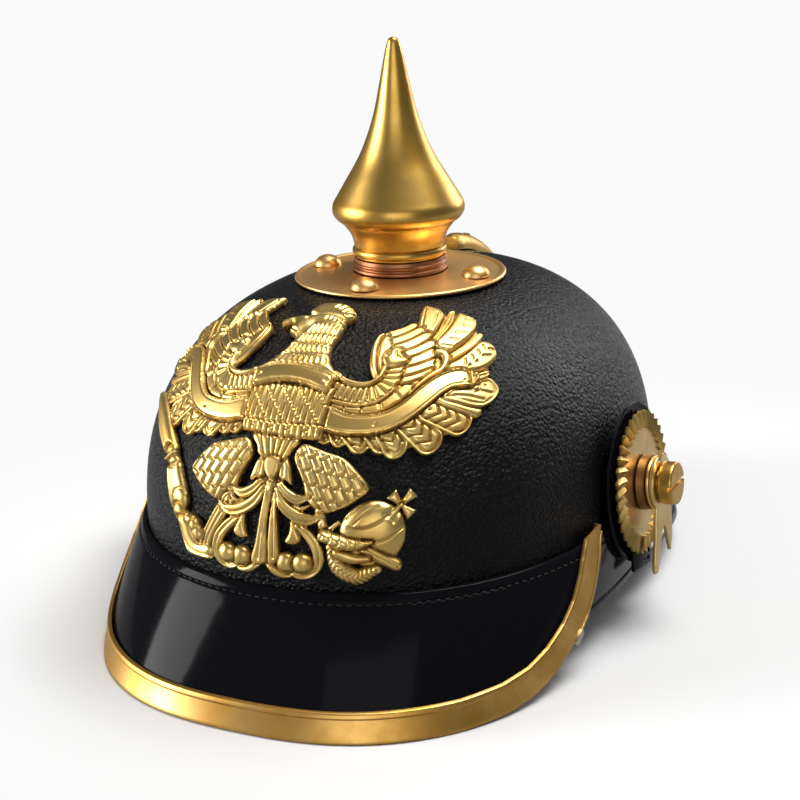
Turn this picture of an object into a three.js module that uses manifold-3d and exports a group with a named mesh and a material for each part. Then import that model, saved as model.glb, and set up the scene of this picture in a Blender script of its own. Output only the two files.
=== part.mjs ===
// Spiked parade helmet: a leather skull with two peaks, brass edge strip, eagle plate,
// spike on a round base plate, rear spine, and a rosette with its hanger on each side.
// Millimetres, +Z up, front towards -Y. The rim stands on z = 0.
import * as THREE from 'three'
import { mergeVertices } from 'three/addons/utils/BufferGeometryUtils.js'
import { TessellateModifier } from 'three/addons/modifiers/TessellateModifier.js'
import Module from 'manifold-3d'

const wasm = await Module()
wasm.setup()

const gap = 0.3 // clearance between neighbouring pieces
const leather = 2.2 // wall of the skull and the peaks
const axisOffset = 3.45 // the spike axis lies this far behind the middle of the outline

// skull: oval sections that shrink from the seam to the crown
const skull = {
  halfWidth: 96.6, frontReach: 118.8, rearReach: 122.6, sectionPower: 2.17,
  seam: 43.5, apex: 133, heightPower: 2.4, radiusPower: 2.51,
  crown: 128.3, crownSoftness: 1, tuck: 7,
}
// outline of the two peaks on the ground, before the edges rise at the sides
const rim = {
  halfWidth: 102.5, rearHalfWidth: 98.5, flareHalfWidth: 102.5, frontReach: 146.5, rearReach: 139.5,
  frontPower: 2.5, rearPower: 2.85,
}
const peak = { proud: 1.9, bow: 1.2, rearTurn: 2.7, beadProud: 1.4 }
// turns at which the front peak and its edge strip are drawn, mirrored for the left side
const frontTurns = [0, 9, 18, 27, 35, 42, 49.5, 54.6, 58.7, 62.8, 66, 68.6, 70.6]
const stripEnd = 72

// how high the edge of each peak runs, as a fraction of the seam height, by turn from the front
const frontEdge = [
  { turn: 0, rise: 0.037 }, { turn: 42, rise: 0.037 }, { turn: 49.5, rise: 0.06 }, { turn: 54.6, rise: 0.11 },
  { turn: 58.7, rise: 0.2 }, { turn: 62.8, rise: 0.34 }, { turn: 66, rise: 0.5 }, { turn: 68.6, rise: 0.7 },
  { turn: 70.6, rise: 0.9 }, { turn: 72, rise: 1.12 },
]
const rearEdge = [
  { turn: 60, rise: 0.34 }, { turn: 75, rise: 0.37 }, { turn: 90, rise: 0.37 }, { turn: 110, rise: 0.33 },
  { turn: 122, rise: 0.26 },
  { turn: 136, rise: 0.15 }, { turn: 150, rise: 0.05 }, { turn: 160, rise: 0 }, { turn: 180, rise: 0 },
]

const strip = { width: 9.4, thickness: 1.2, bead: 0.8, foot: 1.9, lip: 3 }

// plate, collar and spike: radius by height above the base plate's underside
const basePlate = { underside: 128.7, radius: 42.4 }
const plateProfile = [
  { radius: 19, height: 1.1 }, { radius: 40, height: 0 }, { radius: 41.6, height: 0 },
  { radius: 42.4, height: 0.7 },
  { radius: 41.6, height: 1.5 }, { radius: 40.2, height: 1.2 }, { radius: 19, height: 2.5 },
]
const collarProfile = [
  { radius: 12, height: 2.8 }, { radius: 18.7, height: 2.8 }, { radius: 18.9, height: 3.9 },
  { radius: 18.2, height: 4.6 }, { radius: 18.5, height: 5.4 }, { radius: 18.5, height: 8 },
  { radius: 12, height: 8 },
]
const spikeProfile = [
  { radius: 0, height: 8.3 }, { radius: 17.5, height: 8.3 }, { radius: 17.4, height: 9.3 },
  { radius: 18.7, height: 9.8 }, { radius: 18.8, height: 11 }, { radius: 18, height: 12.2 },
  { radius: 18.5, height: 15.2 }, { radius: 19.8, height: 18.2 }, { radius: 22.2, height: 21.4 },
  { radius: 24.2, height: 23.2 }, { radius: 25.6, height: 25 }, { radius: 26.2, height: 27.2 },
  { radius: 25.7, height: 29.7 }, { radius: 24, height: 32.6 }, { radius: 19.8, height: 39.5 },
  { radius: 14.9, height: 47.8 }, { radius: 11, height: 56.8 }, { radius: 8.2, height: 65.6 },
  { radius: 5.8, height: 76.3 }, { radius: 3.7, height: 86.2 }, { radius: 2.3, height: 91.2 },
  { radius: 0, height: 93.1 },
]
const stud = { radius: 5.5, height: 4.2, circle: 32.5 }
const spine = { width: 10, height: 6.5, sides: 6 }

// side fittings, along an axis that points outwards from the side of the helmet
const side = { reach: 98.7, depth: -1.6, height: 53.6, turn: 2.5, tilt: 5.5 }
const cockade = { radius: 31, from: -0.8, sheet: 0.7, bead: 0.4 }
const tab = { width: 20, length: 34, lean: 7.5, from: 0.6, thickness: 1 }
const rosette = {
  teeth: 32, radius: 28, inner: 19.5, bore: 5.6, from: 1.9, edge: 0.6, crest: 2.2, floor: 0.9, notch: 1.3,
}
const boss = { radius: 10.9, from: 3.7, to: 7 }
const washer = { radius: 10.2, from: 7.3, to: 8.7 }
const post = { radius: 5, from: -1.8, neck: 11.6, head: 8.3, to: 17, slot: 1.6, slotDepth: 1.5 }
const hanger = { from: 9.3, thickness: 1.5, ring: 11.3, bore: 5.7 }

const brass = new THREE.MeshStandardMaterial({ color: '#b08d45', roughness: 0.35, metalness: 1 })
const paleBrass = new THREE.MeshStandardMaterial({ color: '#d2b878', roughness: 0.32, metalness: 1 })
const copperBrass = new THREE.MeshStandardMaterial({ color: '#9a6a4a', roughness: 0.35, metalness: 1 })
const grainedLeather = new THREE.MeshStandardMaterial({ color: '#151416', roughness: 0.5, metalness: 0 })
const patentLeather = new THREE.MeshStandardMaterial({ color: '#0c0b0d', roughness: 0.15, metalness: 0 })

const radians = THREE.MathUtils.degToRad
const lerp = THREE.MathUtils.lerp
const clamp = THREE.MathUtils.clamp

// value of a column at a given place in a table whose rows are in order
function lookUp(table, key, column, place) {
  const last = table.length - 1
  if (place <= table[0][key]) return table[0][column]
  for (let i = 0; i < last; i++) {
    const low = table[i]
    const high = table[i + 1]
    const along = (place - low[key]) / (high[key] - low[key])
    if (along <= 1) return lerp(low[column], high[column], along)
  }
  return table[last][column]
}

// unit oval, turned from the front (-Y) towards the right (+X)
function oval(turn, power) {
  const x = Math.sin(radians(turn))
  const y = -Math.cos(radians(turn))
  const size = (Math.abs(x) ** power + Math.abs(y) ** power) ** (-1 / power)
  return new THREE.Vector2(x * size, y * size)
}

// section of the skull at a given share of its height (0 at the seam, 1 at the apex)
function skullPoint(turn, share, inset = 0) {
  const unit = oval(turn, skull.sectionPower)
  const radius = Math.max(0, 1 - Math.max(share, 0) ** skull.heightPower) ** (1 / skull.radiusPower)
  const reach = unit.y < 0 ? skull.frontReach : skull.rearReach
  const rise = skull.seam + (skull.apex - skull.seam) * share
  const softness = skull.crownSoftness
  const height = rise - softness * Math.log(1 + Math.exp((rise - skull.crown) / softness))
  const drop = share > 0.5 ? inset : 2 * inset * share
  const across = unit.x * (skull.halfWidth - inset) * radius
  return new THREE.Vector3(across, unit.y * (reach - inset) * radius, height - drop)
}

// level direction that points out of the skull at the seam
function outward(turn) {
  const along = skullPoint(turn + 0.5, 0).sub(skullPoint(turn - 0.5, 0))
  return new THREE.Vector3(along.y, -along.x, 0).normalize()
}

// outer face of the peaks: from the ground outline (share 0) to the seam (share 1);
// the rear peak is straight at the sides, where the side fittings lie on it, and flares behind them
function peakPoint(turn, share, out = 0, rear = false) {
  const folded = Math.abs(turn > 180 ? turn - 360 : turn)
  const flare = clamp((folded - 92) / 28, 0, 1)
  const halfWidth = rear ? lerp(rim.rearHalfWidth, rim.flareHalfWidth, flare) : rim.halfWidth
  const bow = peak.bow * (rear ? clamp((folded - 100) / 30, 0, 1) : 1)
  const unit = oval(turn, folded < 90 ? rim.frontPower : rim.rearPower)
  const reach = folded < 90 ? rim.frontReach : rim.rearReach
  const ground = new THREE.Vector3(unit.x * halfWidth, unit.y * reach, 0)
  const away = outward(turn)
  const seam = skullPoint(turn, 0).addScaledVector(away, peak.proud)
  const level = Math.min(share, 1)
  const point = ground.lerp(seam, level).addScaledVector(away, out + bow * 4 * level * (1 - level))
  point.z = skull.seam * share
  return point
}

// closed solid from rings of points; the outline gives the shape of the two end caps
function loft(rings, outline, closed = false) {
  const count = outline.length
  const points = rings.flat()
  const index = []
  const steps = closed ? rings.length : rings.length - 1
  for (let i = 0; i < steps; i++) {
    for (let j = 0; j < count; j++) {
      const next = (j + 1) % count
      const a = i * count + j
      const b = i * count + next
      const c = ((i + 1) % rings.length) * count + next
      const d = ((i + 1) % rings.length) * count + j
      index.push(a, b, c, a, c, d)
    }
  }
  if (!closed) {
    const end = (rings.length - 1) * count
    for (const [a, b, c] of THREE.ShapeUtils.triangulateShape(outline, [])) {
      index.push(c, b, a, end + a, end + b, end + c)
    }
  }
  const geometry = new THREE.BufferGeometry().setFromPoints(points)
  geometry.setIndex(index)
  return facingOut(tidy(geometry))
}

// shared vertices merged, and triangles that closed up at an axis dropped
function tidy(geometry) {
  const bare = geometry.clone()
  bare.deleteAttribute('normal')
  bare.deleteAttribute('uv')
  const merged = mergeVertices(bare, 1e-3)
  const index = []
  for (let i = 0; i < merged.index.count; i += 3) {
    const corner = [0, 1, 2].map((k) => merged.index.getX(i + k))
    if (new Set(corner).size === 3) index.push(...corner)
  }
  merged.setIndex(index)
  return merged
}

// triangles turned so that the volume is positive
function facingOut(geometry) {
  const position = geometry.getAttribute('position')
  const corner = [new THREE.Vector3(), new THREE.Vector3(), new THREE.Vector3()]
  let volume = 0
  for (let i = 0; i < geometry.index.count; i += 3) {
    corner.forEach((point, k) => point.fromBufferAttribute(position, geometry.index.getX(i + k)))
    volume += corner[0].dot(corner[1].clone().cross(corner[2]))
  }
  if (volume < 0) geometry.setIndex(Array.from(geometry.index.array).reverse())
  return geometry
}

function mesh(name, geometry, material) {
  const piece = new THREE.Mesh(geometry, material)
  piece.name = name
  return piece
}

// solid of revolution about +Z; a profile that leaves the axis is closed on itself
function turned(profile, segments) {
  const outline = profile.map((row) => new THREE.Vector2(row.radius, row.height))
  if (profile[0].radius > 0) outline.push(outline[0].clone())
  return facingOut(tidy(new THREE.LatheGeometry(outline, segments).rotateX(Math.PI / 2)))
}

function toManifold(geometry) {
  const bare = tidy(geometry)
  const vertProperties = new Float32Array(bare.getAttribute('position').array)
  const triVerts = new Uint32Array(bare.index.array)
  return new wasm.Manifold(new wasm.Mesh({ numProp: 3, vertProperties, triVerts }))
}

function fromManifold(solid) {
  const { vertProperties, triVerts } = solid.getMesh()
  const geometry = new THREE.BufferGeometry()
  geometry.setAttribute('position', new THREE.BufferAttribute(new Float32Array(vertProperties), 3))
  geometry.setIndex(Array.from(triVerts))
  return geometry
}

// ---- skull and peaks ----

function shell() {
  const around = 36
  const levels = [0, 0.2, 0.42, 0.6, 0.76, 0.88, 0.955]
  const rings = []
  for (let i = 0; i < around; i++) {
    const turn = (360 * i) / around
    const outer = levels.map((share) => skullPoint(turn, share))
    const inner = levels.map((share) => skullPoint(turn, share, leather)).reverse()
    const foot = outer[0].clone().setZ(skull.seam - skull.tuck)
    const innerFoot = skullPoint(turn, 0, leather).setZ(skull.seam - skull.tuck)
    const top = skullPoint(turn, 1)
    const innerTop = top.clone().setZ(top.z - leather)
    rings.push([foot, ...outer, top, innerTop, ...inner, innerFoot])
  }
  return loft(rings, rings[0].map((point) => new THREE.Vector2(point.x, point.z)), true)
}

// a band of leather between an edge and the seam, over a range of turns
function peakBand({ nominalTurns, turnAt, edgeAt, rows, proudAt, rear }) {
  const rings = nominalTurns.map((nominal) => {
    const place = (row, out) => peakPoint(turnAt(nominal, row), lerp(edgeAt(nominal), 1, row), out, rear)
    const outside = rows.map((row) => place(row, proudAt(row, nominal)))
    return [...outside, ...rows.map((row) => place(row, -peakWall(row))).reverse()]
  })
  const flat = rows.map((row) => new THREE.Vector2(1, row))
  return loft(rings, [...flat, ...flat.map((point) => new THREE.Vector2(0, point.y)).reverse()])
}

// the wall thins at the seam, where it laps over the foot of the skull
function peakWall(row) {
  return lerp(leather, peak.proud - gap - 0.1, clamp(row * 1.5 - 0.5, 0, 1))
}

function bothSides(turns) {
  return [...turns.slice(1).reverse().map((turn) => -turn), ...turns]
}

function frontPeak() {
  const edgeAt = (turn) => lookUp(frontEdge, 'turn', 'rise', Math.abs(turn))
  return peakBand({
    nominalTurns: bothSides(frontTurns), turnAt: (turn) => turn, edgeAt, rows: [0, 0.33, 0.67, 1],
    proudAt: () => 0, rear: false,
  })
}

// the rear peak starts under the rising ends of the edge strip and follows their slant
function rearPeak() {
  const first = 66.5
  const startAt = (rise) => lookUp(frontEdge, 'rise', 'turn', clamp(rise, 0.34, 1.1)) + peak.rearTurn
  const steps = 30
  const nominalTurns = Array.from({ length: steps + 1 }, (_, i) => lerp(first, 360 - first, i / steps))
  const edgeAt = (turn) => lookUp(rearEdge, 'turn', 'rise', Math.min(turn, 360 - turn))
  const turnAt = (turn, row) => {
    const shift = startAt(lerp(edgeAt(turn), 1, row)) - first
    const fade = clamp(1 - (Math.min(turn, 360 - turn) - first) / 20, 0, 1)
    return turn + (turn > 180 ? -shift : shift) * fade
  }
  // the bead is lower under the side fittings
  const beadAt = (turn) => peak.beadProud * clamp((Math.min(turn, 360 - turn) - 85) / 15, 0.4, 1)
  const proudAt = (row, turn) => (row < 0.09 ? beadAt(turn) : 0)
  return peakBand({ nominalTurns, turnAt, edgeAt, rows: [0, 0.08, 0.11, 0.45, 0.75, 1], proudAt, rear: true })
}

// brass strip folded over the edge of the front peak, with a bead along its inner edge
function edgeStrip() {
  // near its ends the inner lip dies away, because the foot of the skull lies behind it
  const outlineAt = (rise) => {
    const lip = lerp(strip.lip, -gap - 0.1, clamp((rise - 0.34) / 0.14, 0, 1))
    const inner = -lerp(leather + gap, 0.8, clamp((rise - 0.58) / 0.12, 0, 1))
    return [
      [inner - 0.7, -strip.foot], [strip.thickness, -strip.foot], [strip.thickness + 0.2, strip.width - 1.8],
      [strip.thickness + strip.bead, strip.width - 1.2], [strip.thickness + strip.bead, strip.width - 0.2],
      [gap, strip.width], [gap, -gap], [inner, -gap], [inner, lip], [inner - 0.7, lip],
    ].map(([out, up]) => new THREE.Vector2(out, up))
  }
  const turns = bothSides([...frontTurns, stripEnd])
  const edge = turns.map((turn) => peakPoint(turn, lookUp(frontEdge, 'turn', 'rise', Math.abs(turn))))
  const rings = turns.map((turn, i) => {
    const before = edge[Math.max(i - 1, 0)]
    const after = edge[Math.min(i + 1, edge.length - 1)]
    const along = after.clone().sub(before).normalize()
    const share = lookUp(frontEdge, 'turn', 'rise', Math.abs(turn))
    const upward = peakPoint(turn, share + 0.05).sub(peakPoint(turn, share - 0.05)).normalize()
    const sideways = peakPoint(turn + 0.5, share).sub(peakPoint(turn - 0.5, share)).normalize()
    const normal = sideways.clone().cross(upward).normalize()
    const inwards = normal.clone().cross(along).normalize()
    const away = outward(turn)
    return outlineAt(share).map(({ x, y }) => {
      const point = edge[i].clone().addScaledVector(away, x).addScaledVector(inwards, y)
      return point.setZ(Math.max(point.z, 0))
    })
  })
  return loft(rings, outlineAt(1))
}

// ---- eagle plate, drawn on the front of the skull ----
// across: millimetres from the centre line, up: millimetres over the seam along the centre line

const surface = (() => {
  const steps = 400
  const meridian = [{ length: 0, share: 0 }]
  const girth = [{ length: 0, turn: 0 }]
  for (let i = 1; i <= steps; i++) {
    const share = i / steps
    const rise = skullPoint(0, share).distanceTo(skullPoint(0, share - 1 / steps))
    meridian.push({ length: meridian[i - 1].length + rise, share })
    const turn = (180 * i) / steps
    const run = skullPoint(turn, 0).distanceTo(skullPoint(turn - 180 / steps, 0))
    girth.push({ length: girth[i - 1].length + run, turn })
  }
  return { meridian, girth }
})()

function onSkull(across, up, lift) {
  const share = lookUp(surface.meridian, 'length', 'share', up)
  const radius = (1 - share ** skull.heightPower) ** (1 / skull.radiusPower)
  const turn = Math.sign(across) * lookUp(surface.girth, 'length', 'turn', Math.abs(across) / radius)
  const point = skullPoint(turn, share)
  const upward = skullPoint(turn, share + 0.01).sub(skullPoint(turn, share - 0.01))
  const sideways = skullPoint(turn + 1, share).sub(skullPoint(turn - 1, share))
  return point.addScaledVector(sideways.cross(upward).normalize(), lift)
}

const plate = { lift: 0.8, sheet: 1.1 }

// one row for each band, feather or limb: its path, its width along the path, and its relief
const wingBands = [
  { part: 'arm', path: [[13, 72.5], [20, 71], [27, 70.5], [32, 74.5], [32.8, 82]],
    widths: [8, 8, 7.5, 7, 6], relief: 2.2 },
  { part: 'second row', path: [[14, 65], [24, 64], [33, 66.5], [39, 72], [40, 80]],
    widths: [5, 5, 8, 9, 9], relief: 1.6 },
  { part: 'ribbon', path: [[13, 61], [22, 59.2], [31, 59.4], [40, 63.4], [48, 70.5], [56, 74], [64, 73]],
    widths: [7.4, 7.4, 7.6, 7.8, 7.6, 6.4, 4.5], relief: 2.6 },
  { part: 'leading edge', path: [[29, 78], [25.8, 86], [24, 96]], widths: [3, 4, 4], relief: 2 },
  { part: 'wrist', path: [[27, 90], [31.5, 87.5], [35.5, 83.5]], widths: [6, 7, 3], relief: 2.8 },
  { part: 'long feather', path: [[26, 95], [32, 101.5]], widths: [6, 4.4], relief: 1.6 },
  { part: 'long feather', path: [[28, 92], [36, 97.5]], widths: [5, 4.4], relief: 2.2 },
  { part: 'long feather', path: [[31, 88], [39.5, 94.5]], widths: [5.5, 4.4], relief: 1.6 },
  { part: 'long feather', path: [[35, 84.5], [42.5, 90]], widths: [5.5, 5], relief: 2.2 },
  { part: 'long feather', path: [[36, 80.5], [46, 85.5]], widths: [5.5, 5.4], relief: 1.6 },
  { part: 'long feather', path: [[37, 77], [48, 80]], widths: [5, 4.5], relief: 2.2 },
  { part: 'leaf', path: [[37.5, 93], [40, 102], [37.5, 109], [32.6, 115]],
    widths: [6, 9, 7.5, 1], relief: 2.4 },
  { part: 'leaf edge', path: [[42, 91], [46, 98], [46.5, 107.3]], widths: [5, 6, 3], relief: 1.6 },
  { part: 'leaf', path: [[49, 87], [54, 95], [54, 105]], widths: [9, 14, 5], relief: 2.4 },
  { part: 'leaf edge', path: [[50, 83], [63, 91]], widths: [4.5, 4], relief: 1.6 },
  { part: 'leaf', path: [[50, 79.5], [62, 82.5], [73.8, 80.5]], widths: [6, 12.5, 5], relief: 2.4 },
  { part: 'flight feather', path: [[16, 57], [18.5, 53.5]], widths: [6, 5], relief: 1.6 },
  { part: 'flight feather', path: [[20, 56.5], [28, 51]], widths: [7, 6], relief: 2 },
  { part: 'flight feather', path: [[28, 56], [40.5, 49.5]], widths: [8, 6.5], relief: 1.6 },
  { part: 'flight feather', path: [[38, 58], [54, 50.5]], widths: [8, 7.5], relief: 2 },
  { part: 'flight feather', path: [[44, 62], [63.5, 55]], widths: [8, 7], relief: 1.6 },
  { part: 'flight feather', path: [[51, 66], [70, 58.8]], widths: [7, 5], relief: 2 },
  { part: 'flight feather', path: [[56, 70], [76, 65.5]], widths: [8, 8.5], relief: 1.6 },
  { part: 'flight feather', path: [[60, 74], [71, 73]], widths: [6, 3.5], relief: 2 },
]
const bodyBands = [
  { part: 'chest', path: [[0, 53], [0, 64], [0, 75]], widths: [33, 30, 30], relief: 2.2 },
  { part: 'chest ribbon', path: [[-14.8, 75], [-7, 77.6], [0, 78.2], [7, 77.6], [14.8, 75]],
    widths: [7, 7, 7, 7, 7], relief: 3 },
  { part: 'neck', path: [[0, 77], [-0.5, 87], [-0.2, 96], [-0.6, 105]],
    widths: [28, 17.5, 14.5, 15], relief: 2.4 },
  { part: 'crown', path: [[-4.5, 108.5], [-3.5, 112], [1.5, 112.5], [6, 109.5]],
    widths: [5, 8, 9, 6], relief: 2 },
  { part: 'upper beak', path: [[-3, 103.5], [-10, 103.6], [-16.2, 101.4]],
    widths: [7, 4.2, 1.2], relief: 2.6 },
  { part: 'lower beak', path: [[-3, 99.5], [-8, 98.3], [-11.5, 97.2]], widths: [5, 3.2, 1.4], relief: 2.2 },
  { part: 'tail root', path: [[0, 54], [0, 46]], widths: [17, 6.5], relief: 2.6 },
  { part: 'tail bell', path: [[0, 48], [0, 39]], widths: [6.5, 12], relief: 2.2 },
  { part: 'tail', path: [[0, 40], [0, 24], [0, 8]], widths: [3.6, 6.4, 10.8], relief: 2.4 },
]
const tailBands = [
  { part: 'thigh', path: [[8, 51], [17, 43.5], [25, 35.5]], widths: [11, 18, 15], relief: 2.6 },
  { part: 'upper horn', path: [[1, 38], [4.5, 34], [8, 31.8], [12.8, 32.8]],
    widths: [2.2, 3, 3.2, 2.4], relief: 1.8 },
  { part: 'lower horn', path: [[1, 33], [5.5, 28.5], [11, 25.3], [19, 26.6]],
    widths: [2.4, 3.6, 4.4, 3.2], relief: 2.2 },
  { part: 'drop leaf', path: [[8.5, 26], [9.3, 21], [8.6, 17.5]], widths: [2.2, 2.8, 3.6], relief: 1.8 },
  { part: 'scroll', path: [[10, 25], [16, 21], [19.8, 15], [18.6, 7.6], [14, 5.2], [10.5, 5.8]],
    widths: [2.4, 3.4, 3.4, 3.2, 3, 2.6], relief: 1.9 },
  { part: 'scroll foot', path: [[2, 8], [6, 5.6], [11, 5.8]], widths: [2.8, 3, 2.6], relief: 1.9 },
]
const knobs = [
  { part: 'ball', across: 8.2, up: 9.4, radius: 3.5, relief: 3.2 },
  { part: 'ball', across: 14.6, up: 9.6, radius: 3.3, relief: 3.2 },
]
const limbBands = [
  { part: 'sceptre leg', path: [[-13, 31], [-20, 23.5], [-27.5, 10.5]], widths: [5, 4.2, 4.4], relief: 2.2 },
  { part: 'sceptre head', path: [[-76, 50], [-62, 44.6], [-50, 38]], widths: [5, 7, 6], relief: 2.4 },
  { part: 'sceptre', path: [[-51, 38], [-45, 28], [-39.5, 20.5], [-36, 13]],
    widths: [5, 12, 5, 6], relief: 2.6 },
  { part: 'claw', path: [[-37.5, 16], [-34, 8.6], [-23, 8]], widths: [5.5, 6, 4.5], relief: 2.2 },
  { part: 'talon', path: [[-33.5, 19], [-29, 14]], widths: [4, 4.6], relief: 2.6 },
  { part: 'orb leg', path: [[20, 29], [23, 20]], widths: [5, 4.6], relief: 2 },
  { part: 'upper talon', path: [[22, 19.4], [29, 16.8], [38, 17.4]], widths: [4, 4.4, 3], relief: 3 },
  { part: 'lower talon', path: [[26, 16], [29.5, 9], [36, 6.6], [41.5, 9]],
    widths: [4, 5.6, 5, 3], relief: 2.2 },
  { part: 'cross arm', path: [[45.5, 28], [49.5, 33.8]], widths: [3.4, 3], relief: 2 },
  { part: 'cross arm', path: [[42.6, 34], [51.6, 26.8]], widths: [3.4, 3.4], relief: 2 },
]
const orb = { part: 'orb', across: 37.6, up: 20.6, radius: 11.6, relief: 3 }

// outline of a band: both sides of its path, rounded a little at the ends
function bandShape({ path, widths }) {
  const line = new THREE.SplineCurve(path.map(([across, up]) => new THREE.Vector2(across, up)))
  const steps = path.length > 2 ? Math.round((path.length - 1) * 1.4) : 1
  const left = []
  const right = []
  for (let i = 0; i <= steps; i++) {
    const place = i / steps
    const point = line.getPoint(place)
    const along = line.getTangent(place)
    const seat = place * (widths.length - 1)
    const low = Math.min(Math.floor(seat), widths.length - 2)
    const half = lerp(widths[low], widths[low + 1], seat - low) / 2
    left.push(new THREE.Vector2(point.x - along.y * half, point.y + along.x * half))
    right.push(new THREE.Vector2(point.x + along.y * half, point.y - along.x * half))
  }
  const end = line.getPoint(1).addScaledVector(line.getTangent(1), widths.at(-1) * 0.35)
  return new THREE.Shape([...right, end, ...left.reverse()])
}

function discShape({ across, up, radius }) {
  const circle = new THREE.EllipseCurve(across, up, radius, radius, 0, 2 * Math.PI)
  return new THREE.Shape(circle.getPoints(radius > 6 ? 16 : 8).slice(0, -1))
}

function mirrored(row) {
  if (row.path) return { ...row, path: row.path.map(([across, up]) => [-across, up]) }
  return { ...row, across: -row.across }
}

function eaglePlate() {
  const pairs = [...wingBands, ...tailBands, ...knobs]
  const rows = [...bodyBands, ...pairs, ...pairs.map(mirrored), ...limbBands, orb]
  let solid = null
  for (const row of rows) {
    const shape = row.path ? bandShape(row) : discShape(row)
    const depth = plate.sheet + row.relief * 0.55
    const relief = toManifold(new THREE.ExtrudeGeometry(shape, { depth, bevelEnabled: false }))
    solid = solid ? solid.add(relief) : relief
  }
  const fine = new TessellateModifier(20, 4).modify(fromManifold(solid).toNonIndexed())
  const geometry = tidy(fine)
  const position = geometry.getAttribute('position')
  for (let i = 0; i < position.count; i++) {
    const point = onSkull(position.getX(i), position.getY(i), plate.lift + position.getZ(i))
    position.setXYZ(i, point.x, point.y, point.z)
  }
  return facingOut(geometry)
}

// ---- top fittings ----

function crownPieces() {
  const group = new THREE.Group()
  group.position.z = basePlate.underside
  group.add(mesh('base_plate', turned(plateProfile, 26), brass))
  group.add(mesh('spike_collar', turned(collarProfile, 20), copperBrass))
  group.add(mesh('spike', turned(spikeProfile, 18), brass))
  const dome = [
    { radius: 0, height: 0 }, { radius: stud.radius, height: 0 },
    { radius: stud.radius * 0.86, height: stud.height * 0.6 },
    { radius: stud.radius * 0.45, height: stud.height * 0.93 }, { radius: 0, height: stud.height },
  ]
  for (const [name, turn] of [['front', 0], ['right', 90], ['back', 180], ['left', 270]]) {
    const piece = mesh(`stud_${name}`, turned(dome, 10), paleBrass)
    const upperFace = [...plateProfile].reverse().slice(0, 2)
    const seat = lookUp(upperFace, 'radius', 'height', stud.circle - stud.radius)
    piece.position.set(0, -stud.circle, seat + gap).applyAxisAngle(new THREE.Vector3(0, 0, 1), radians(turn))
    group.add(piece)
  }
  return group
}

// half-round bar down the back of the skull
function rearSpine() {
  const outline = []
  for (let i = 0; i <= spine.sides; i++) {
    const angle = (Math.PI * i) / spine.sides
    outline.push(new THREE.Vector2((spine.width / 2) * Math.cos(angle), spine.height * Math.sin(angle)))
  }
  const rings = []
  const shares = [0.955, 0.93, 0.89, 0.84, 0.77, 0.68, 0.56, 0.42, 0.26, 0.1, 0.035]
  for (const share of shares) {
    const foot = skullPoint(180, share)
    const along = skullPoint(180, share - 0.01).sub(skullPoint(180, share + 0.01)).normalize()
    const normal = new THREE.Vector3(0, -along.z, along.y).normalize()
    normal.multiplyScalar(Math.sign(normal.y + normal.z))
    const place = (point) => foot.clone().setX(point.x).addScaledVector(normal, point.y + gap + 0.35)
    rings.push(outline.map(place))
  }
  return loft(rings, outline)
}

// ---- side fittings ----
// each is drawn with +Z as the outward axis and +Y as up, then turned onto the side

function rosetteShape() {
  const section = [
    { radius: rosette.bore, height: rosette.from }, { radius: rosette.radius, height: rosette.from },
    { radius: rosette.radius, height: rosette.from + rosette.edge },
    { radius: rosette.inner, height: rosette.from + rosette.crest },
    { radius: rosette.bore, height: rosette.from + rosette.floor },
  ]
  const rings = []
  for (let i = 0; i < rosette.teeth * 2; i++) {
    const valley = i % 2
    const angle = (Math.PI * (i + 0.35 * valley)) / rosette.teeth
    rings.push(section.map(({ radius, height }, k) => {
      const reach = radius - (valley && (k === 1 || k === 2) ? rosette.notch : 0)
      const drop = valley && k === 3 ? 1.1 : 0
      return new THREE.Vector3(reach * Math.cos(angle), reach * Math.sin(angle), height - drop)
    }))
  }
  return loft(rings, section.map(({ radius, height }) => new THREE.Vector2(radius, height)), true)
}

function ring(outer, bore, from, to, segments) {
  return turned([
    { radius: bore, height: from }, { radius: outer, height: from },
    { radius: outer, height: to }, { radius: bore, height: to },
  ], segments)
}

function cockadeShape() {
  const { radius, from, sheet, bead } = cockade
  return turned([
    { radius: rosette.bore, height: from }, { radius: radius - 1.2, height: from },
    { radius, height: from + 0.6 },
    { radius, height: from + sheet + bead * 0.7 }, { radius: radius - 1, height: from + sheet + bead },
    { radius: radius - 2.2, height: from + sheet }, { radius: rosette.bore, height: from + sheet },
  ], 22)
}

function postShape() {
  const body = turned([
    { radius: 0, height: post.from }, { radius: post.radius, height: post.from },
    { radius: post.radius, height: post.neck },
    { radius: post.head, height: post.neck }, { radius: post.head, height: post.to - 0.8 },
    { radius: post.head - 0.8, height: post.to }, { radius: 0, height: post.to },
  ], 18)
  const slot = new THREE.BoxGeometry(3 * post.head, post.slot, 2 * post.slotDepth)
  slot.translate(0, 0, post.to)
  return fromManifold(toManifold(body).subtract(toManifold(slot)))
}

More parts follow.
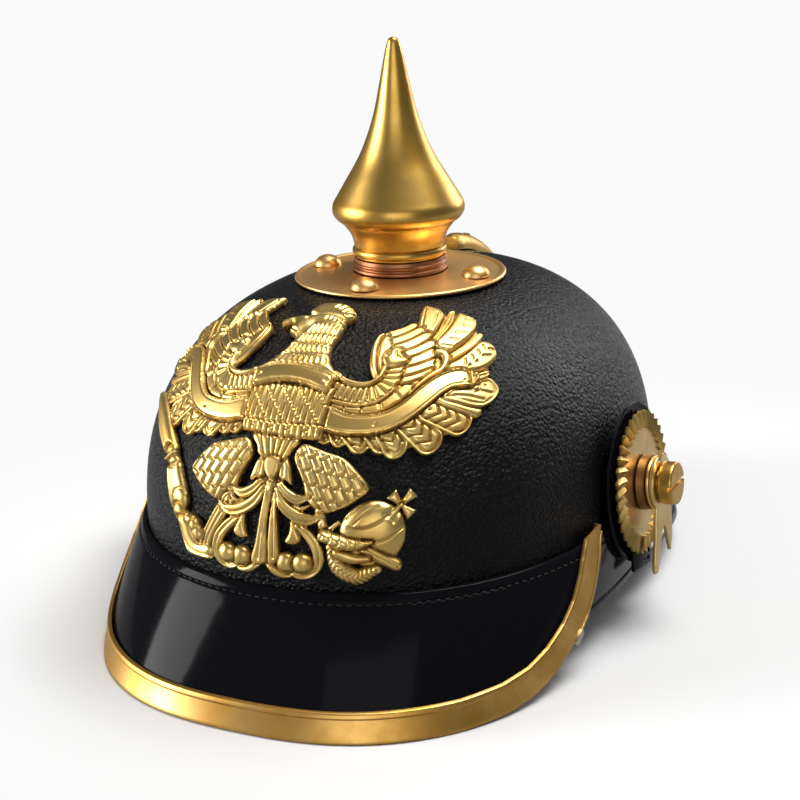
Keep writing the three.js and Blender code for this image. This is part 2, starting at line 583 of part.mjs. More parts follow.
// flat plate cut with an arch between a long prong (towards the front) and a short one
function hangerShape() {
  const shape = new THREE.Shape()
  const { ring: radius, bore } = hanger
  const foot = new THREE.Vector2(-8.4, -8)
  shape.moveTo(foot.x, foot.y)
  shape.absarc(0, 0, radius, Math.atan2(foot.y, foot.x) + 2 * Math.PI, Math.PI / 2 + 0.22, true)
  shape.lineTo(0, radius - 3)
  shape.absarc(0, 0, radius, Math.PI / 2 - 0.22, Math.atan2(foot.y, -foot.x), true)
  for (const [across, up] of [
    [8.4, -12], [7.6, -19], [6.6, -24], [3.8, -29], [2.4, -24], [1, -19], [-1.2, -16.6], [-3.8, -18.4],
    [-6.4, -23], [-8.6, -28], [-10.4, -30], [-12, -32.4], [-14.4, -32.2], [-15, -30], [-13.4, -25],
    [-11.4, -20], [-10, -13],
  ]) shape.lineTo(across, up)
  shape.closePath()
  const options = { depth: hanger.thickness, bevelEnabled: false, curveSegments: 6 }
  const geometry = new THREE.ExtrudeGeometry(shape, options)
  geometry.translate(0, 0, hanger.from)
  const drill = new THREE.CylinderGeometry(bore, bore, 3 * hanger.from, 18).rotateX(Math.PI / 2)
  return fromManifold(toManifold(geometry).subtract(toManifold(drill)))
}

// squared end of a strap, hung on the post and leaning slightly forwards
function tabShape() {
  const { width, length, thickness } = tab
  const shape = new THREE.Shape()
  shape.absarc(0, 0, width / 2, 0, Math.PI, false)
  shape.lineTo(-width / 2, -length)
  shape.lineTo(width / 2, -length)
  shape.closePath()
  shape.holes.push(new THREE.Path().absarc(0, 0, rosette.bore, 0, 2 * Math.PI, true))
  const options = { depth: thickness, bevelEnabled: false, curveSegments: 8 }
  const geometry = new THREE.ExtrudeGeometry(shape, options)
  geometry.rotateZ(radians(-tab.lean))
  geometry.translate(0, 0, tab.from)
  return tidy(geometry)
}

// local x points to the rear, y up and z outwards, leaning with the skull; the left side mirrors the right
function onSide(name, geometry, material, hand) {
  const level = new THREE.Vector3(Math.cos(radians(side.turn)), -Math.sin(radians(side.turn)), 0)
  const rearward = new THREE.Vector3(0, 0, 1).cross(level)
  const direction = level.clone().applyAxisAngle(rearward, -radians(side.tilt))
  const frame = new THREE.Matrix4().makeBasis(rearward, direction.clone().cross(rearward), direction)
  frame.setPosition(side.reach, side.depth, side.height)
  const placed = tidy(geometry).applyMatrix4(frame)
  if (hand === 'left') placed.applyMatrix4(new THREE.Matrix4().makeScale(-1, 1, 1))
  return mesh(`${name}_${hand}`, facingOut(placed), material)
}

function sidePieces(hand) {
  return [
    onSide('cockade', cockadeShape(), patentLeather, hand),
    onSide('strap_tab', tabShape(), patentLeather, hand),
    onSide('rosette', rosetteShape(), paleBrass, hand),
    onSide('boss', ring(boss.radius, rosette.bore, boss.from, boss.to, 16), brass, hand),
    onSide('washer', ring(washer.radius, rosette.bore, washer.from, washer.to, 16), paleBrass, hand),
    onSide('hanger', hangerShape(), paleBrass, hand),
    onSide('post_stud', postShape(), brass, hand),
  ]
}

const helmet = new THREE.Group()
helmet.position.y = axisOffset
helmet.add(mesh('shell', shell(), grainedLeather))
helmet.add(mesh('front_visor', frontPeak(), patentLeather))
helmet.add(mesh('rear_visor', rearPeak(), patentLeather))
helmet.add(mesh('front_trim', edgeStrip(), brass))
helmet.add(mesh('eagle_plate', eaglePlate(), paleBrass))
helmet.add(mesh('rear_spine', rearSpine(), brass))
helmet.add(crownPieces())
for (const hand of ['left', 'right']) helmet.add(...sidePieces(hand))

const group = new THREE.Group()
group.add(helmet)
export default group
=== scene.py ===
# Spiked parade helmet: leather skull and peaks, stamped brass eagle, spike, spine and side rosettes.
# Sizes in the dictionaries are millimetres; meshes are made in metres, in the CAD frame.
import math

import bmesh
import bpy
import numpy as np
from mathutils import Matrix, Vector
from mathutils.geometry import delaunay_2d_cdt


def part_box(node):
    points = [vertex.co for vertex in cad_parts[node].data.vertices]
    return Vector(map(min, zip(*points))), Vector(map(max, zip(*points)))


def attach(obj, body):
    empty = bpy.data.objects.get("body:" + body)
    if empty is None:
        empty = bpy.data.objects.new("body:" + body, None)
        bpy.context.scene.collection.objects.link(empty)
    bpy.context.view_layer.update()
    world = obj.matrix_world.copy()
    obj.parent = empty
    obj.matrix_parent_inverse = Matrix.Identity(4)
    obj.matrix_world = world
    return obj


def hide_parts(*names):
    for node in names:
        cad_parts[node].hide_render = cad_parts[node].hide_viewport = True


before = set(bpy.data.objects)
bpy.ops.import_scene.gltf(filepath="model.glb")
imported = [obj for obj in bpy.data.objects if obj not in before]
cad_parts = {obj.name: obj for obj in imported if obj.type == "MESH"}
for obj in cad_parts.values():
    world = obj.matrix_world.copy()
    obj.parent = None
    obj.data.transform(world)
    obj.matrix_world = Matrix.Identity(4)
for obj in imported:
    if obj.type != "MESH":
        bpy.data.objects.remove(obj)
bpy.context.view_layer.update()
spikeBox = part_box("spike")
mm = 0.001
axisY = (spikeBox[0].y + spikeBox[1].y) / 2 / mm  # the spike axis lies behind the middle of the outline
weld = {"merge": 0.002, "sliver": 0.001}


def newNode(tree, kind, inputs=None, **settings):
    node = tree.nodes.new(kind)
    for key, value in settings.items():
        setattr(node, key, value)
    for key, value in (inputs or {}).items():
        if isinstance(value, bpy.types.NodeSocket):
            tree.links.new(value, node.inputs[key])
        else:
            node.inputs[key].default_value = value
    return node


def newGroup(name, kind, inputs, outputs):
    tree = bpy.data.node_groups.new(name, kind)
    for label, socketType, default in inputs:
        socket = tree.interface.new_socket(name=label, in_out="INPUT", socket_type="NodeSocket" + socketType)
        if default is not None:
            socket.default_value = default
    for label, socketType in outputs:
        tree.interface.new_socket(name=label, in_out="OUTPUT", socket_type="NodeSocket" + socketType)
    return tree, tree.nodes.new("NodeGroupInput").outputs, tree.nodes.new("NodeGroupOutput").inputs


def arith(tree, operation, first, second=0.5, clampIt=False):
    node = newNode(tree, "ShaderNodeMath", {0: first, 1: second}, operation=operation)
    node.use_clamp = clampIt
    return node.outputs[0]


def noise(tree, place, scale, detail, **more):
    inputs = {"Vector": place, "Scale": scale, "Detail": detail, **more}
    return newNode(tree, "ShaderNodeTexNoise", inputs).outputs


def ranged(tree, value, low, high, toLow=0.0, toHigh=1.0, **settings):
    inputs = {"Value": value, "From Min": low, "From Max": high, "To Min": toLow, "To Max": toHigh}
    return newNode(tree, "ShaderNodeMapRange", inputs, **settings).outputs[0]


def reshaped(tree, geometry, place):
    inputs = {"Geometry": geometry, "Position": place.outputs[0]}
    return newNode(tree, "GeometryNodeSetPosition", inputs).outputs[0]


def mixColour(tree, factor, first, second):
    node = newNode(tree, "ShaderNodeMix", {0: factor, 6: first, 7: second}, data_type="RGBA")
    return node.outputs[2]


def unit(vectors):
    return vectors / np.maximum(np.linalg.norm(vectors, axis=-1, keepdims=True), 1e-9)


def softened(corners, steps=3):
    # outline with rounded corners: rows are (x, y, radius)
    rounded = []
    count = len(corners)
    for i, (x, y, radius) in enumerate(corners):
        here = np.array([x, y], float)
        if radius <= 0:
            rounded.append(here)
            continue
        ends = []
        for other in (corners[i - 1], corners[(i + 1) % count]):
            side = np.array(other[:2], float) - here
            length = max(np.linalg.norm(side), 1e-6)
            ends.append(here + side / length * min(radius, 0.48 * length))
        for step in range(steps + 1):
            t = step / steps
            rounded.append((1 - t) ** 2 * ends[0] + 2 * t * (1 - t) * here + t * t * ends[1])
    return np.array(rounded)


def smoothLine(points, steps=8, closed=False):
    # curve through given points
    points = np.array(points, float)
    count = len(points)
    line = []
    for i in range(count if closed else count - 1):
        before = points[(i - 1) % count] if closed or i > 0 else 2 * points[0] - points[1]
        start, end = points[i], points[(i + 1) % count]
        after = points[(i + 2) % count] if closed or i + 2 < count else 2 * points[-1] - points[-2]
        bend = 2 * before - 5 * start + 4 * end - after
        twist = 3 * start - before - 3 * end + after
        for t in np.arange(steps) / steps:
            line.append(0.5 * (2 * start + (end - before) * t + bend * t * t + twist * t ** 3))
    if not closed:
        line.append(points[-1])
    return np.array(line)


def placeObject(name, data):
    piece = bpy.data.objects.new(name, data)
    bpy.context.scene.collection.objects.link(piece)
    return piece


def evaluatedMesh(piece):
    # mesh of an object with its modifiers applied
    bpy.context.view_layer.update()
    graph = bpy.context.evaluated_depsgraph_get()
    return bpy.data.meshes.new_from_object(piece.evaluated_get(graph), depsgraph=graph)


def welded(mesh):
    # doubles joined and faces turned outward
    work = bmesh.new()
    work.from_mesh(mesh)
    bmesh.ops.remove_doubles(work, verts=work.verts, dist=weld["merge"] * mm)
    bmesh.ops.dissolve_degenerate(work, edges=work.edges, dist=weld["sliver"] * mm)
    bmesh.ops.recalc_face_normals(work, faces=work.faces)
    work.to_mesh(mesh)
    work.free()


def shaded(mesh, sharp):
    mesh.shade_smooth()
    mesh.set_sharp_from_angle(angle=math.radians(sharp))


def meshPiece(name, points, faces, sharp=38, recalculate=True):
    mesh = bpy.data.meshes.new(name)
    mesh.from_pydata((np.asarray(points, float) * mm).tolist(), [], faces)
    piece = placeObject(name, mesh)
    if recalculate:
        welded(mesh)
    shaded(mesh, sharp)
    return piece


def meshPoints(mesh):
    points = np.empty(len(mesh.vertices) * 3)
    mesh.vertices.foreach_get("co", points)
    return points.reshape(-1, 3) / mm


def meshFaces(mesh):
    return [tuple(polygon.vertices) for polygon in mesh.polygons]


def paintDirtAndShade(piece, values):
    # how much dirt and painted shade lies at each point
    layer = piece.data.attributes.new("dirtAndShade", "FLOAT", "POINT")
    layer.data.foreach_set("value", values.astype(np.float32))


def loftPiece(name, rings, closed=False, sharp=38):
    # rings of a closed outline; the ends are capped unless the rings close on themselves
    rings = np.asarray(rings, float)
    count, size = rings.shape[:2]
    faces = []
    for i in range(count if closed else count - 1):
        low, high = i * size, (i + 1) % count * size
        faces += [(low + j, low + (j + 1) % size, high + (j + 1) % size, high + j) for j in range(size)]
    if not closed:
        faces += [tuple(range(size)), tuple(range((count - 1) * size, count * size))]
    return meshPiece(name, rings.reshape(-1, 3), faces, sharp)


def turnedRings(outline, segments):
    # rings for a turned shape about +Z: rows of the outline are (radius, height)
    angles = np.arange(segments) * 2 * math.pi / segments
    radius, height = outline[:, 0], outline[:, 1]
    return np.stack([np.outer(np.cos(angles), radius), np.outer(np.sin(angles), radius),
                     np.tile(height, (segments, 1))], axis=-1)


def dress(piece, finish, slot, *replaced, body="helmet"):
    piece.data.materials.clear()
    piece.data.materials.append(materials[finish])
    for polygon in piece.data.polygons:
        polygon.material_index = 0
    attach(piece, body)
    if replaced:
        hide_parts(*replaced)
    return piece


def grownMesh(name, tree, values, source=None):
    # result of a geometry node tree as a plain mesh object
    if source is None:
        source = placeObject(name + "Seed", bpy.data.meshes.new(name + "Seed"))
    modifier = source.modifiers.new("grow", "NODES")
    modifier.node_group = tree
    for item in tree.interface.items_tree:
        if item.item_type == "SOCKET" and item.in_out == "INPUT" and item.name in values:
            modifier[item.identifier] = values[item.name]
    mesh = evaluatedMesh(source)
    bpy.data.objects.remove(source)
    mesh.name = name
    return placeObject(name, mesh)


def shownCopies(tree, given, result, points, instance, **settings):
    # copies of one shape on points, made real and given the tree's material
    inputs = {"Points": points, "Instance": instance, **settings}
    copies = newNode(tree, "GeometryNodeInstanceOnPoints", inputs).outputs[0]
    real = newNode(tree, "GeometryNodeRealizeInstances", {"Geometry": copies}).outputs[0]
    painted = newNode(tree, "GeometryNodeSetMaterial", {"Geometry": real, "Material": given["Material"]})
    tree.links.new(painted.outputs[0], result["Geometry"])
    return tree


def leatherGrainGroup():
    # pebbled hide: cells of a given size, with finer creases between
    tree, given, result = newGroup("leatherGrain", "ShaderNodeTree",
                                   [("Cell Size", "Float", 0.0012), ("Crease", "Float", 0.5)],
                                   [("Height", "Float"), ("Mask", "Float")])
    place = newNode(tree, "ShaderNodeTexCoord").outputs["Object"]
    scale = arith(tree, "DIVIDE", 1.0, given["Cell Size"])
    warp = noise(tree, place, 260.0, 2.0)["Color"]
    bent = newNode(tree, "ShaderNodeVectorMath", {0: warp, 1: (0.0012, 0.0012, 0.0012)}, operation="MULTIPLY")
    shifted = newNode(tree, "ShaderNodeVectorMath", {0: place, 1: bent.outputs[0]},
                      operation="ADD").outputs[0]
    cells = newNode(tree, "ShaderNodeTexVoronoi", {"Vector": shifted, "Scale": scale, "Smoothness": 0.35},
                    feature="SMOOTH_F1").outputs["Distance"]
    fine = noise(tree, place, 2600.0, 3.0)["Fac"]
    rounded = arith(tree, "SUBTRACT", 1.0, arith(tree, "POWER", cells, 1.5))
    creased = arith(tree, "MULTIPLY", fine, given["Crease"])
    tree.links.new(arith(tree, "ADD", rounded, creased), result["Height"])
    tree.links.new(noise(tree, place, 38.0, 4.0)["Fac"], result["Mask"])
    return tree


def metalPatinaGroup():
    # worn metal: tone and roughness wander, with fine rubbing marks
    tree, given, result = newGroup("metalPatina", "ShaderNodeTree",
                                   [("Clean", "Color", (0.8, 0.6, 0.3, 1)),
                                    ("Dull", "Color", (0.5, 0.33, 0.13, 1)),
                                    ("Patch Size", "Float", 0.02), ("Gloss", "Float", 0.3),
                                    ("Spread", "Float", 0.12)],
                                   [("Colour", "Color"), ("Roughness", "Float"), ("Height", "Float")])
    place = newNode(tree, "ShaderNodeTexCoord").outputs["Object"]
    scale = arith(tree, "DIVIDE", 1.0, given["Patch Size"])
    patches = noise(tree, place, scale, 5.0, Roughness=0.6)["Fac"]
    sharper = ranged(tree, patches, 0.36, 0.66)
    tree.links.new(mixColour(tree, sharper, given["Clean"], given["Dull"]), result["Colour"])
    specks = noise(tree, place, 1500.0, 2.0)["Fac"]
    blend = arith(tree, "ADD", arith(tree, "MULTIPLY", sharper, 0.7), arith(tree, "MULTIPLY", specks, 0.5))
    rough = arith(tree, "ADD", given["Gloss"], arith(tree, "MULTIPLY", blend, given["Spread"]), True)
    tree.links.new(rough, result["Roughness"])
    tree.links.new(arith(tree, "ADD", specks, arith(tree, "MULTIPLY", patches, 0.6)), result["Height"])
    return tree


leatherGrain = leatherGrainGroup()
metalPatina = metalPatinaGroup()


def newMaterial(name):
    material = bpy.data.materials.new(name)
    material.use_nodes = True
    tree = material.node_tree
    return material, tree, tree.nodes["Principled BSDF"]


def addBump(tree, shader, height, strength, distance):
    bump = newNode(tree, "ShaderNodeBump", {"Height": height, "Strength": strength, "Distance": distance})
    tree.links.new(bump.outputs["Normal"], shader.inputs["Normal"])


def grainedLeatherMaterial(name, dark, light, gloss, depth):
    material, tree, shader = newMaterial(name)
    grain = newNode(tree, "ShaderNodeGroup", node_tree=leatherGrain)
    grain.inputs["Cell Size"].default_value = 0.0014
    grain.inputs["Crease"].default_value = 0.5
    tone = ranged(tree, grain.outputs["Mask"], 0.35, 0.7)
    tree.links.new(mixColour(tree, tone, (*dark, 1), (*light, 1)), shader.inputs["Base Color"])
    rough = ranged(tree, grain.outputs["Height"], 0.5, 1.2, gloss + 0.16, gloss)
    tree.links.new(rough, shader.inputs["Roughness"])
    shader.inputs["Specular IOR Level"].default_value = 0.16
    addBump(tree, shader, grain.outputs["Height"], 1.0, depth * mm)
    return material


def patentLeatherMaterial(name, tone, gloss, shine):
    material, tree, shader = newMaterial(name)
    place = newNode(tree, "ShaderNodeTexCoord").outputs["Object"]
    wave = noise(tree, place, 55.0, 1.5)["Fac"]
    dust = noise(tree, place, 900.0, 3.0)["Fac"]
    dusty = (*(1.6 * c for c in tone), 1)
    tree.links.new(mixColour(tree, dust, (*tone, 1), dusty), shader.inputs["Base Color"])
    tree.links.new(ranged(tree, dust, 0.3, 0.75, gloss, gloss + 0.08), shader.inputs["Roughness"])
    shader.inputs["Specular IOR Level"].default_value = shine
    addBump(tree, shader, wave, 0.25, 0.4 * mm)
    return material


def brassMaterial(name, clean, dull, gloss, dirtAndShade=None):
    material, tree, shader = newMaterial(name)
    worn = newNode(tree, "ShaderNodeGroup", node_tree=metalPatina)
    worn.inputs["Clean"].default_value = (*clean, 1)
    worn.inputs["Dull"].default_value = (*dull, 1)
    worn.inputs["Gloss"].default_value = gloss
    colour, rough = worn.outputs["Colour"], worn.outputs["Roughness"]
    if dirtAndShade:  # dirt and painted shade in the low places of the relief
        low = newNode(tree, "ShaderNodeAttribute", attribute_name="dirtAndShade").outputs["Fac"]
        colour = mixColour(tree, low, colour, (*dirtAndShade, 1))
        rough = arith(tree, "ADD", rough, arith(tree, "MULTIPLY", low, 0.3), True)
    tree.links.new(colour, shader.inputs["Base Color"])
    tree.links.new(rough, shader.inputs["Roughness"])
    shader.inputs["Metallic"].default_value = 1.0
    addBump(tree, shader, worn.outputs["Height"], 0.12, 0.15 * mm)
    return material


materials = {
    "skull": grainedLeatherMaterial("skullLeather", (0.002, 0.0018, 0.0023), (0.0035, 0.0033, 0.0045),
                                    0.2, 0.55),
    "patent": patentLeatherMaterial("patentLeather", (0.004, 0.0038, 0.005), 0.07, 0.04),
    # the rear peak's leather is a lighter copy of the front one: painted sheen for the grey gleam on the rear
    # peak
    "rearPatent": patentLeatherMaterial("rearPatentLeather", (0.006, 0.0058, 0.007), 0.12, 0.5),
    "thread": patentLeatherMaterial("waxedThread", (0.012, 0.011, 0.012), 0.35, 0.1),
    "spike": brassMaterial("satinBrass", (0.74, 0.47, 0.12), (0.52, 0.29, 0.05), 0.27),
    "trim": brassMaterial("trimBrass", (0.76, 0.46, 0.14), (0.56, 0.30, 0.06), 0.3),
    "plate": brassMaterial("plateBrass", (0.90, 0.58, 0.24), (0.76, 0.43, 0.14), 0.34),
    "pale": brassMaterial("paleBrass", (0.86, 0.65, 0.30), (0.70, 0.46, 0.16), 0.25),
    # the stamped and fluted brass are darkened in their hollows: dirt plus painted shade
    "eagle": brassMaterial("stampedBrass", (0.86, 0.63, 0.23), (0.66, 0.41, 0.11), 0.3,
                           dirtAndShade=(0.07, 0.028, 0.006)),
    "flutes": brassMaterial("flutedBrass", (0.84, 0.60, 0.22), (0.68, 0.42, 0.12), 0.24,
                            dirtAndShade=(0.06, 0.025, 0.006)),
    "copper": brassMaterial("copperBrass", (0.45, 0.20, 0.10), (0.28, 0.11, 0.05), 0.32),
    "bronze": brassMaterial("darkBrass", (0.30, 0.15, 0.05), (0.17, 0.08, 0.03), 0.35),
    "silver": brassMaterial("nickelTip", (0.70, 0.68, 0.62), (0.5, 0.48, 0.42), 0.25),
}
print("materials made")


skull = {
    "halfWidth": 96.6, "frontReach": 118.8, "rearReach": 122.6, "sectionPower": 2.17,
    "seam": 43.5, "apex": 133.0, "heightPower": 2.4, "radiusPower": 2.51,
    "crown": 128.3, "crownSoftness": 1.0, "tuck": 7.0, "wall": 2.2,
}


def oval(turn, power):
    x, y = np.sin(np.radians(turn)), -np.cos(np.radians(turn))
    size = (np.abs(x) ** power + np.abs(y) ** power) ** (-1 / power)
    return x * size, y * size


def skullPoint(turn, share, inset=0.0):
    # turn in degrees from the front towards +X, share from 0 at the seam to 1 at the top
    turn, share = np.broadcast_arrays(np.asarray(turn, float), np.asarray(share, float))
    x, y = oval(turn, skull["sectionPower"])
    radius = np.clip(1 - np.maximum(share, 0) ** skull["heightPower"], 0, None) ** (1 / skull["radiusPower"])
    reach = np.where(y < 0, skull["frontReach"], skull["rearReach"])
    rise = skull["seam"] + (skull["apex"] - skull["seam"]) * share
    soft = skull["crownSoftness"]
    height = rise - soft * np.log1p(np.exp((rise - skull["crown"]) / soft))
    drop = np.where(share > 0.5, inset, 2 * inset * share)
    return np.stack([x * (skull["halfWidth"] - inset) * radius, y * (reach - inset) * radius + axisY,
                     height - drop], axis=-1)


def skullOut(turn):
    along = skullPoint(np.asarray(turn) + 0.5, 0.0) - skullPoint(np.asarray(turn) - 0.5, 0.0)
    return unit(np.stack([along[..., 1], -along[..., 0], 0 * along[..., 0]], axis=-1))


def makeSkull():
    turns = np.arange(0, 360, 2.0)
    levels = 1 - (1 - np.linspace(0, 1, 40)) ** 1.8
    foot, depth = skull["seam"] - skull["tuck"], skull["wall"]
    rings = []
    for turn in turns:
        outer, inner = skullPoint(turn, levels), skullPoint(turn, levels[:-1], depth)
        outerFoot, innerFoot = outer[0].copy(), inner[0].copy()
        outerFoot[2] = innerFoot[2] = foot
        top = outer[-1] - (0, 0, depth)
        rings.append([innerFoot, outerFoot, *outer, top, *inner[::-1]])
    return dress(loftPiece("skullShell", rings, closed=True, sharp=60), "skull", "grained_leather", "shell")


makeSkull()
print("skull made")


rim = {
    "halfWidth": 102.5, "rearHalfWidth": 98.5, "flareHalfWidth": 102.5, "flareFrom": 92.0, "flareOver": 28.0,
    "frontReach": 146.5, "rearReach": 139.5, "frontPower": 2.5, "rearPower": 2.85,
    "bowFrom": 100.0, "bowOver": 30.0,
}
peak = {
    "wall": 2.2, "proud": 1.9, "bow": 1.2, "gap": 0.3, "frontTurn": 70.6, "rearFrom": 66.5, "rearTurn": 2.7,
    "rearFade": 20.0, "beadProud": 1.4, "beadWidth": 3.2, "edgeRound": 0.7, "hemInset": 3.9, "hemWidth": 0.9,
    "hemDepth": 0.35,
}
frontEdge = {
    "turn": (0, 42, 49.5, 54.6, 58.7, 62.8, 66, 68.6, 70.6, 72),
    "rise": (0.037, 0.037, 0.06, 0.11, 0.2, 0.34, 0.5, 0.7, 0.9, 1.12),
}
rearEdge = {
    "turn": (60, 75, 90, 110, 122, 136, 150, 160, 180),
    "rise": (0.34, 0.37, 0.37, 0.33, 0.26, 0.15, 0.05, 0, 0),
}


def lookUp(table, key, column, place):
    return np.interp(place, table[key], table[column])


def peakPoint(turn, share, out=0.0, rear=False):
    # from the outline on the ground (share 0) to the seam (share 1)
    turn, share, out = np.broadcast_arrays(*(np.asarray(part, float) for part in (turn, share, out)))
    folded = np.abs(np.where(turn > 180, turn - 360, turn))
    flare = np.clip((folded - rim["flareFrom"]) / rim["flareOver"], 0, 1)
    sideWidth = rim["rearHalfWidth"] + (rim["flareHalfWidth"] - rim["rearHalfWidth"]) * flare
    halfWidth = sideWidth if rear else rim["halfWidth"]
    bow = peak["bow"] * (np.clip((folded - rim["bowFrom"]) / rim["bowOver"], 0, 1) if rear else 1.0)
    frontX, frontY = oval(turn, rim["frontPower"])
    rearX, rearY = oval(turn, rim["rearPower"])
    x = np.where(folded < 90, frontX, rearX) * halfWidth
    y = np.where(folded < 90, frontY * rim["frontReach"], rearY * rim["rearReach"]) + axisY
    ground = np.stack([x, y, 0 * turn], axis=-1)
    away = skullOut(turn)
    seam = skullPoint(turn, 0.0) + away * peak["proud"]
    level = np.minimum(share, 1)[..., None]
    swell = np.asarray(bow)[..., None] * 4 * level * (1 - level)
    point = ground * (1 - level) + seam * level + away * (out[..., None] + swell)
    point[..., 2] = skull["seam"] * share
    return point


def peakOutline(length, beadProud, beadWidth):
    # cross-section of a peak, up from its edge: (height along the peak, out) with a sewn hem near the seam
    wall, top = peak["wall"], peak["proud"] - peak["gap"] - 0.1
    hem = length - peak["hemInset"]
    half = peak["hemWidth"] / 2
    corners = [(0, -wall, peak["edgeRound"]), (0, beadProud, peak["edgeRound"])]
    if beadProud > 0.1:
        corners += [(beadWidth * 0.8, beadProud, 0.9), (beadWidth, -0.15, 0.4), (beadWidth + 1.2, 0, 0.5)]
    corners += [(0.3 * length, 0, 0), (0.5 * length, 0, 0), (0.7 * length, 0, 0)]
    corners += [(hem - half - 0.3, 0, 0.3), (hem - half * 0.4, -peak["hemDepth"], 0.25),
                (hem + half * 0.4, -peak["hemDepth"], 0.25),
                (hem + half + 0.3, 0.05, 0.3), (length - 0.2, 0.1, 0.6), (length, -top, 0.3)]
    corners += [(0.7 * length, -(wall + top) / 2, 0), (0.35 * length, -wall, 0)]
    return softened(corners)


def peakLength(turn, edge, rear):
    return np.linalg.norm(peakPoint(turn, 1.0, 0, rear) - peakPoint(turn, edge, 0, rear))


def makePeak(name, node, turns, turnAt, edgeAt, beadAt, rear):
    rings = []
    for nominal in turns:
        edge = edgeAt(nominal)
        length = peakLength(nominal, edge, rear)
        outline = peakOutline(length, beadAt(nominal), peak["beadWidth"])
        share = edge + (1 - edge) * np.clip(outline[:, 0] / length, 0, 1)
        rings.append(peakPoint(turnAt(nominal, (share - edge) / (1 - edge)), share, outline[:, 1], rear))
    finish = "patent" if node == "front_visor" else "rearPatent"
    return dress(loftPiece(name, rings, sharp=50), finish, "patent_leather", node)


def frontTurnAt(turn, row):
    return turn


def frontRise(turn):
    return lookUp(frontEdge, "turn", "rise", np.abs(turn))


def fromFront(turn):
    return min(turn, 360 - turn)


def rearRise(turn):
    return lookUp(rearEdge, "turn", "rise", fromFront(turn))


def rearTurnAt(turn, row):
    # the rear peak starts along the rising end of the front one
    edge = rearRise(turn)
    along = np.clip(edge + (1 - edge) * row, 0.34, 1.1)
    shift = lookUp(frontEdge, "rise", "turn", along) + peak["rearTurn"] - peak["rearFrom"]
    fade = np.clip(1 - (fromFront(turn) - peak["rearFrom"]) / peak["rearFade"], 0, 1)
    return turn + (-shift if turn > 180 else shift) * fade


def rearBead(turn):
    return peak["beadProud"] * np.clip((fromFront(turn) - 85) / 15, 0.4, 1)


frontTurns = np.linspace(-peak["frontTurn"], peak["frontTurn"], 181)
rearTurns = np.linspace(peak["rearFrom"], 360 - peak["rearFrom"], 201)
makePeak("frontPeak", "front_visor", frontTurns, frontTurnAt, frontRise, lambda turn: 0.0, False)
makePeak("rearPeak", "rear_visor", rearTurns, rearTurnAt, rearRise, rearBead, True)
print("peaks made")

strip = {
    "width": 9.4, "thickness": 1.2, "bead": 0.8, "beadWidth": 2.2, "foot": 1.9, "lip": 3.0, "gap": 0.3,
    "wall": 2.2, "endTurn": 72.0, "slantFrom": 68.0, "slant": 0.6,
}


def stripOutline(rise):
    # folded brass: (out, up from the peak's edge); its inner lip dies away at the ends
    gap, face = strip["gap"], strip["thickness"]
    lip = np.interp(rise, [0.34, 0.48], [strip["lip"], -gap - 0.1])
    inner = -np.interp(rise, [0.58, 0.70], [strip["wall"] + gap, 0.8])
    width, bead = strip["width"], strip["beadWidth"]
    return softened([
        (inner - 0.7, -strip["foot"], 0.5), (face - 0.25, -strip["foot"], 0.7),
        (face + 0.1, -0.6, 0.5), (face + 0.05, width - bead - 0.4, 0.3),
        (face + strip["bead"], width - bead, 0.5), (face + strip["bead"], width - 0.3, 0.5),
        (gap + 0.2, width, 0.3), (gap, -gap, 0.1), (inner, -gap, 0.1),
        (inner, lip, 0.15), (inner - 0.7, lip, 0.3),
    ])


def stripFrame(turns):
    # edge of the front peak, the direction along it, and the direction into the leather
    rises = frontRise(turns)
    edge = peakPoint(turns, rises)
    along = unit(np.gradient(edge, axis=0))
    upward = unit(peakPoint(turns, rises + 0.05) - peakPoint(turns, rises - 0.05))
    sideways = unit(peakPoint(turns + 0.5, rises) - peakPoint(turns - 0.5, rises))
    return edge, along, unit(np.cross(unit(np.cross(sideways, upward)), along))


def makeStrip():
    turns = np.concatenate([np.linspace(0, 42, 40), np.linspace(42, strip["endTurn"], 90)[1:]])
    turns = np.concatenate([-turns[:0:-1], turns])
    edge, along, inwards = stripFrame(turns)
    away = skullOut(turns)
    rings = []
    for i, turn in enumerate(turns):
        outline = stripOutline(frontRise(turn))
        ring = edge[i] + outline[:, :1] * away[i] + outline[:, 1:] * inwards[i]
        endward = np.clip((abs(turn) - strip["slantFrom"]) / (strip["endTurn"] - strip["slantFrom"]), 0, 1)
        ring -= np.sign(turn) * endward * strip["slant"] * np.clip(outline[:, 1:], 0, None) * along[i]
        ring[:, 2] = np.maximum(ring[:, 2], 0)
        rings.append(ring)
    return dress(loftPiece("edgeStrip", rings, sharp=55), "trim", "brass", "front_trim")


makeStrip()
print("edge strip made")

lip = {
    "fromTurn": 62.9, "radius": 0.42, "out": 1.3, "below": 1.7,
    "tipTurn": 63.5, "tipLength": 6.5, "tipWidth": 2.0, "tipDepth": 0.55,
}


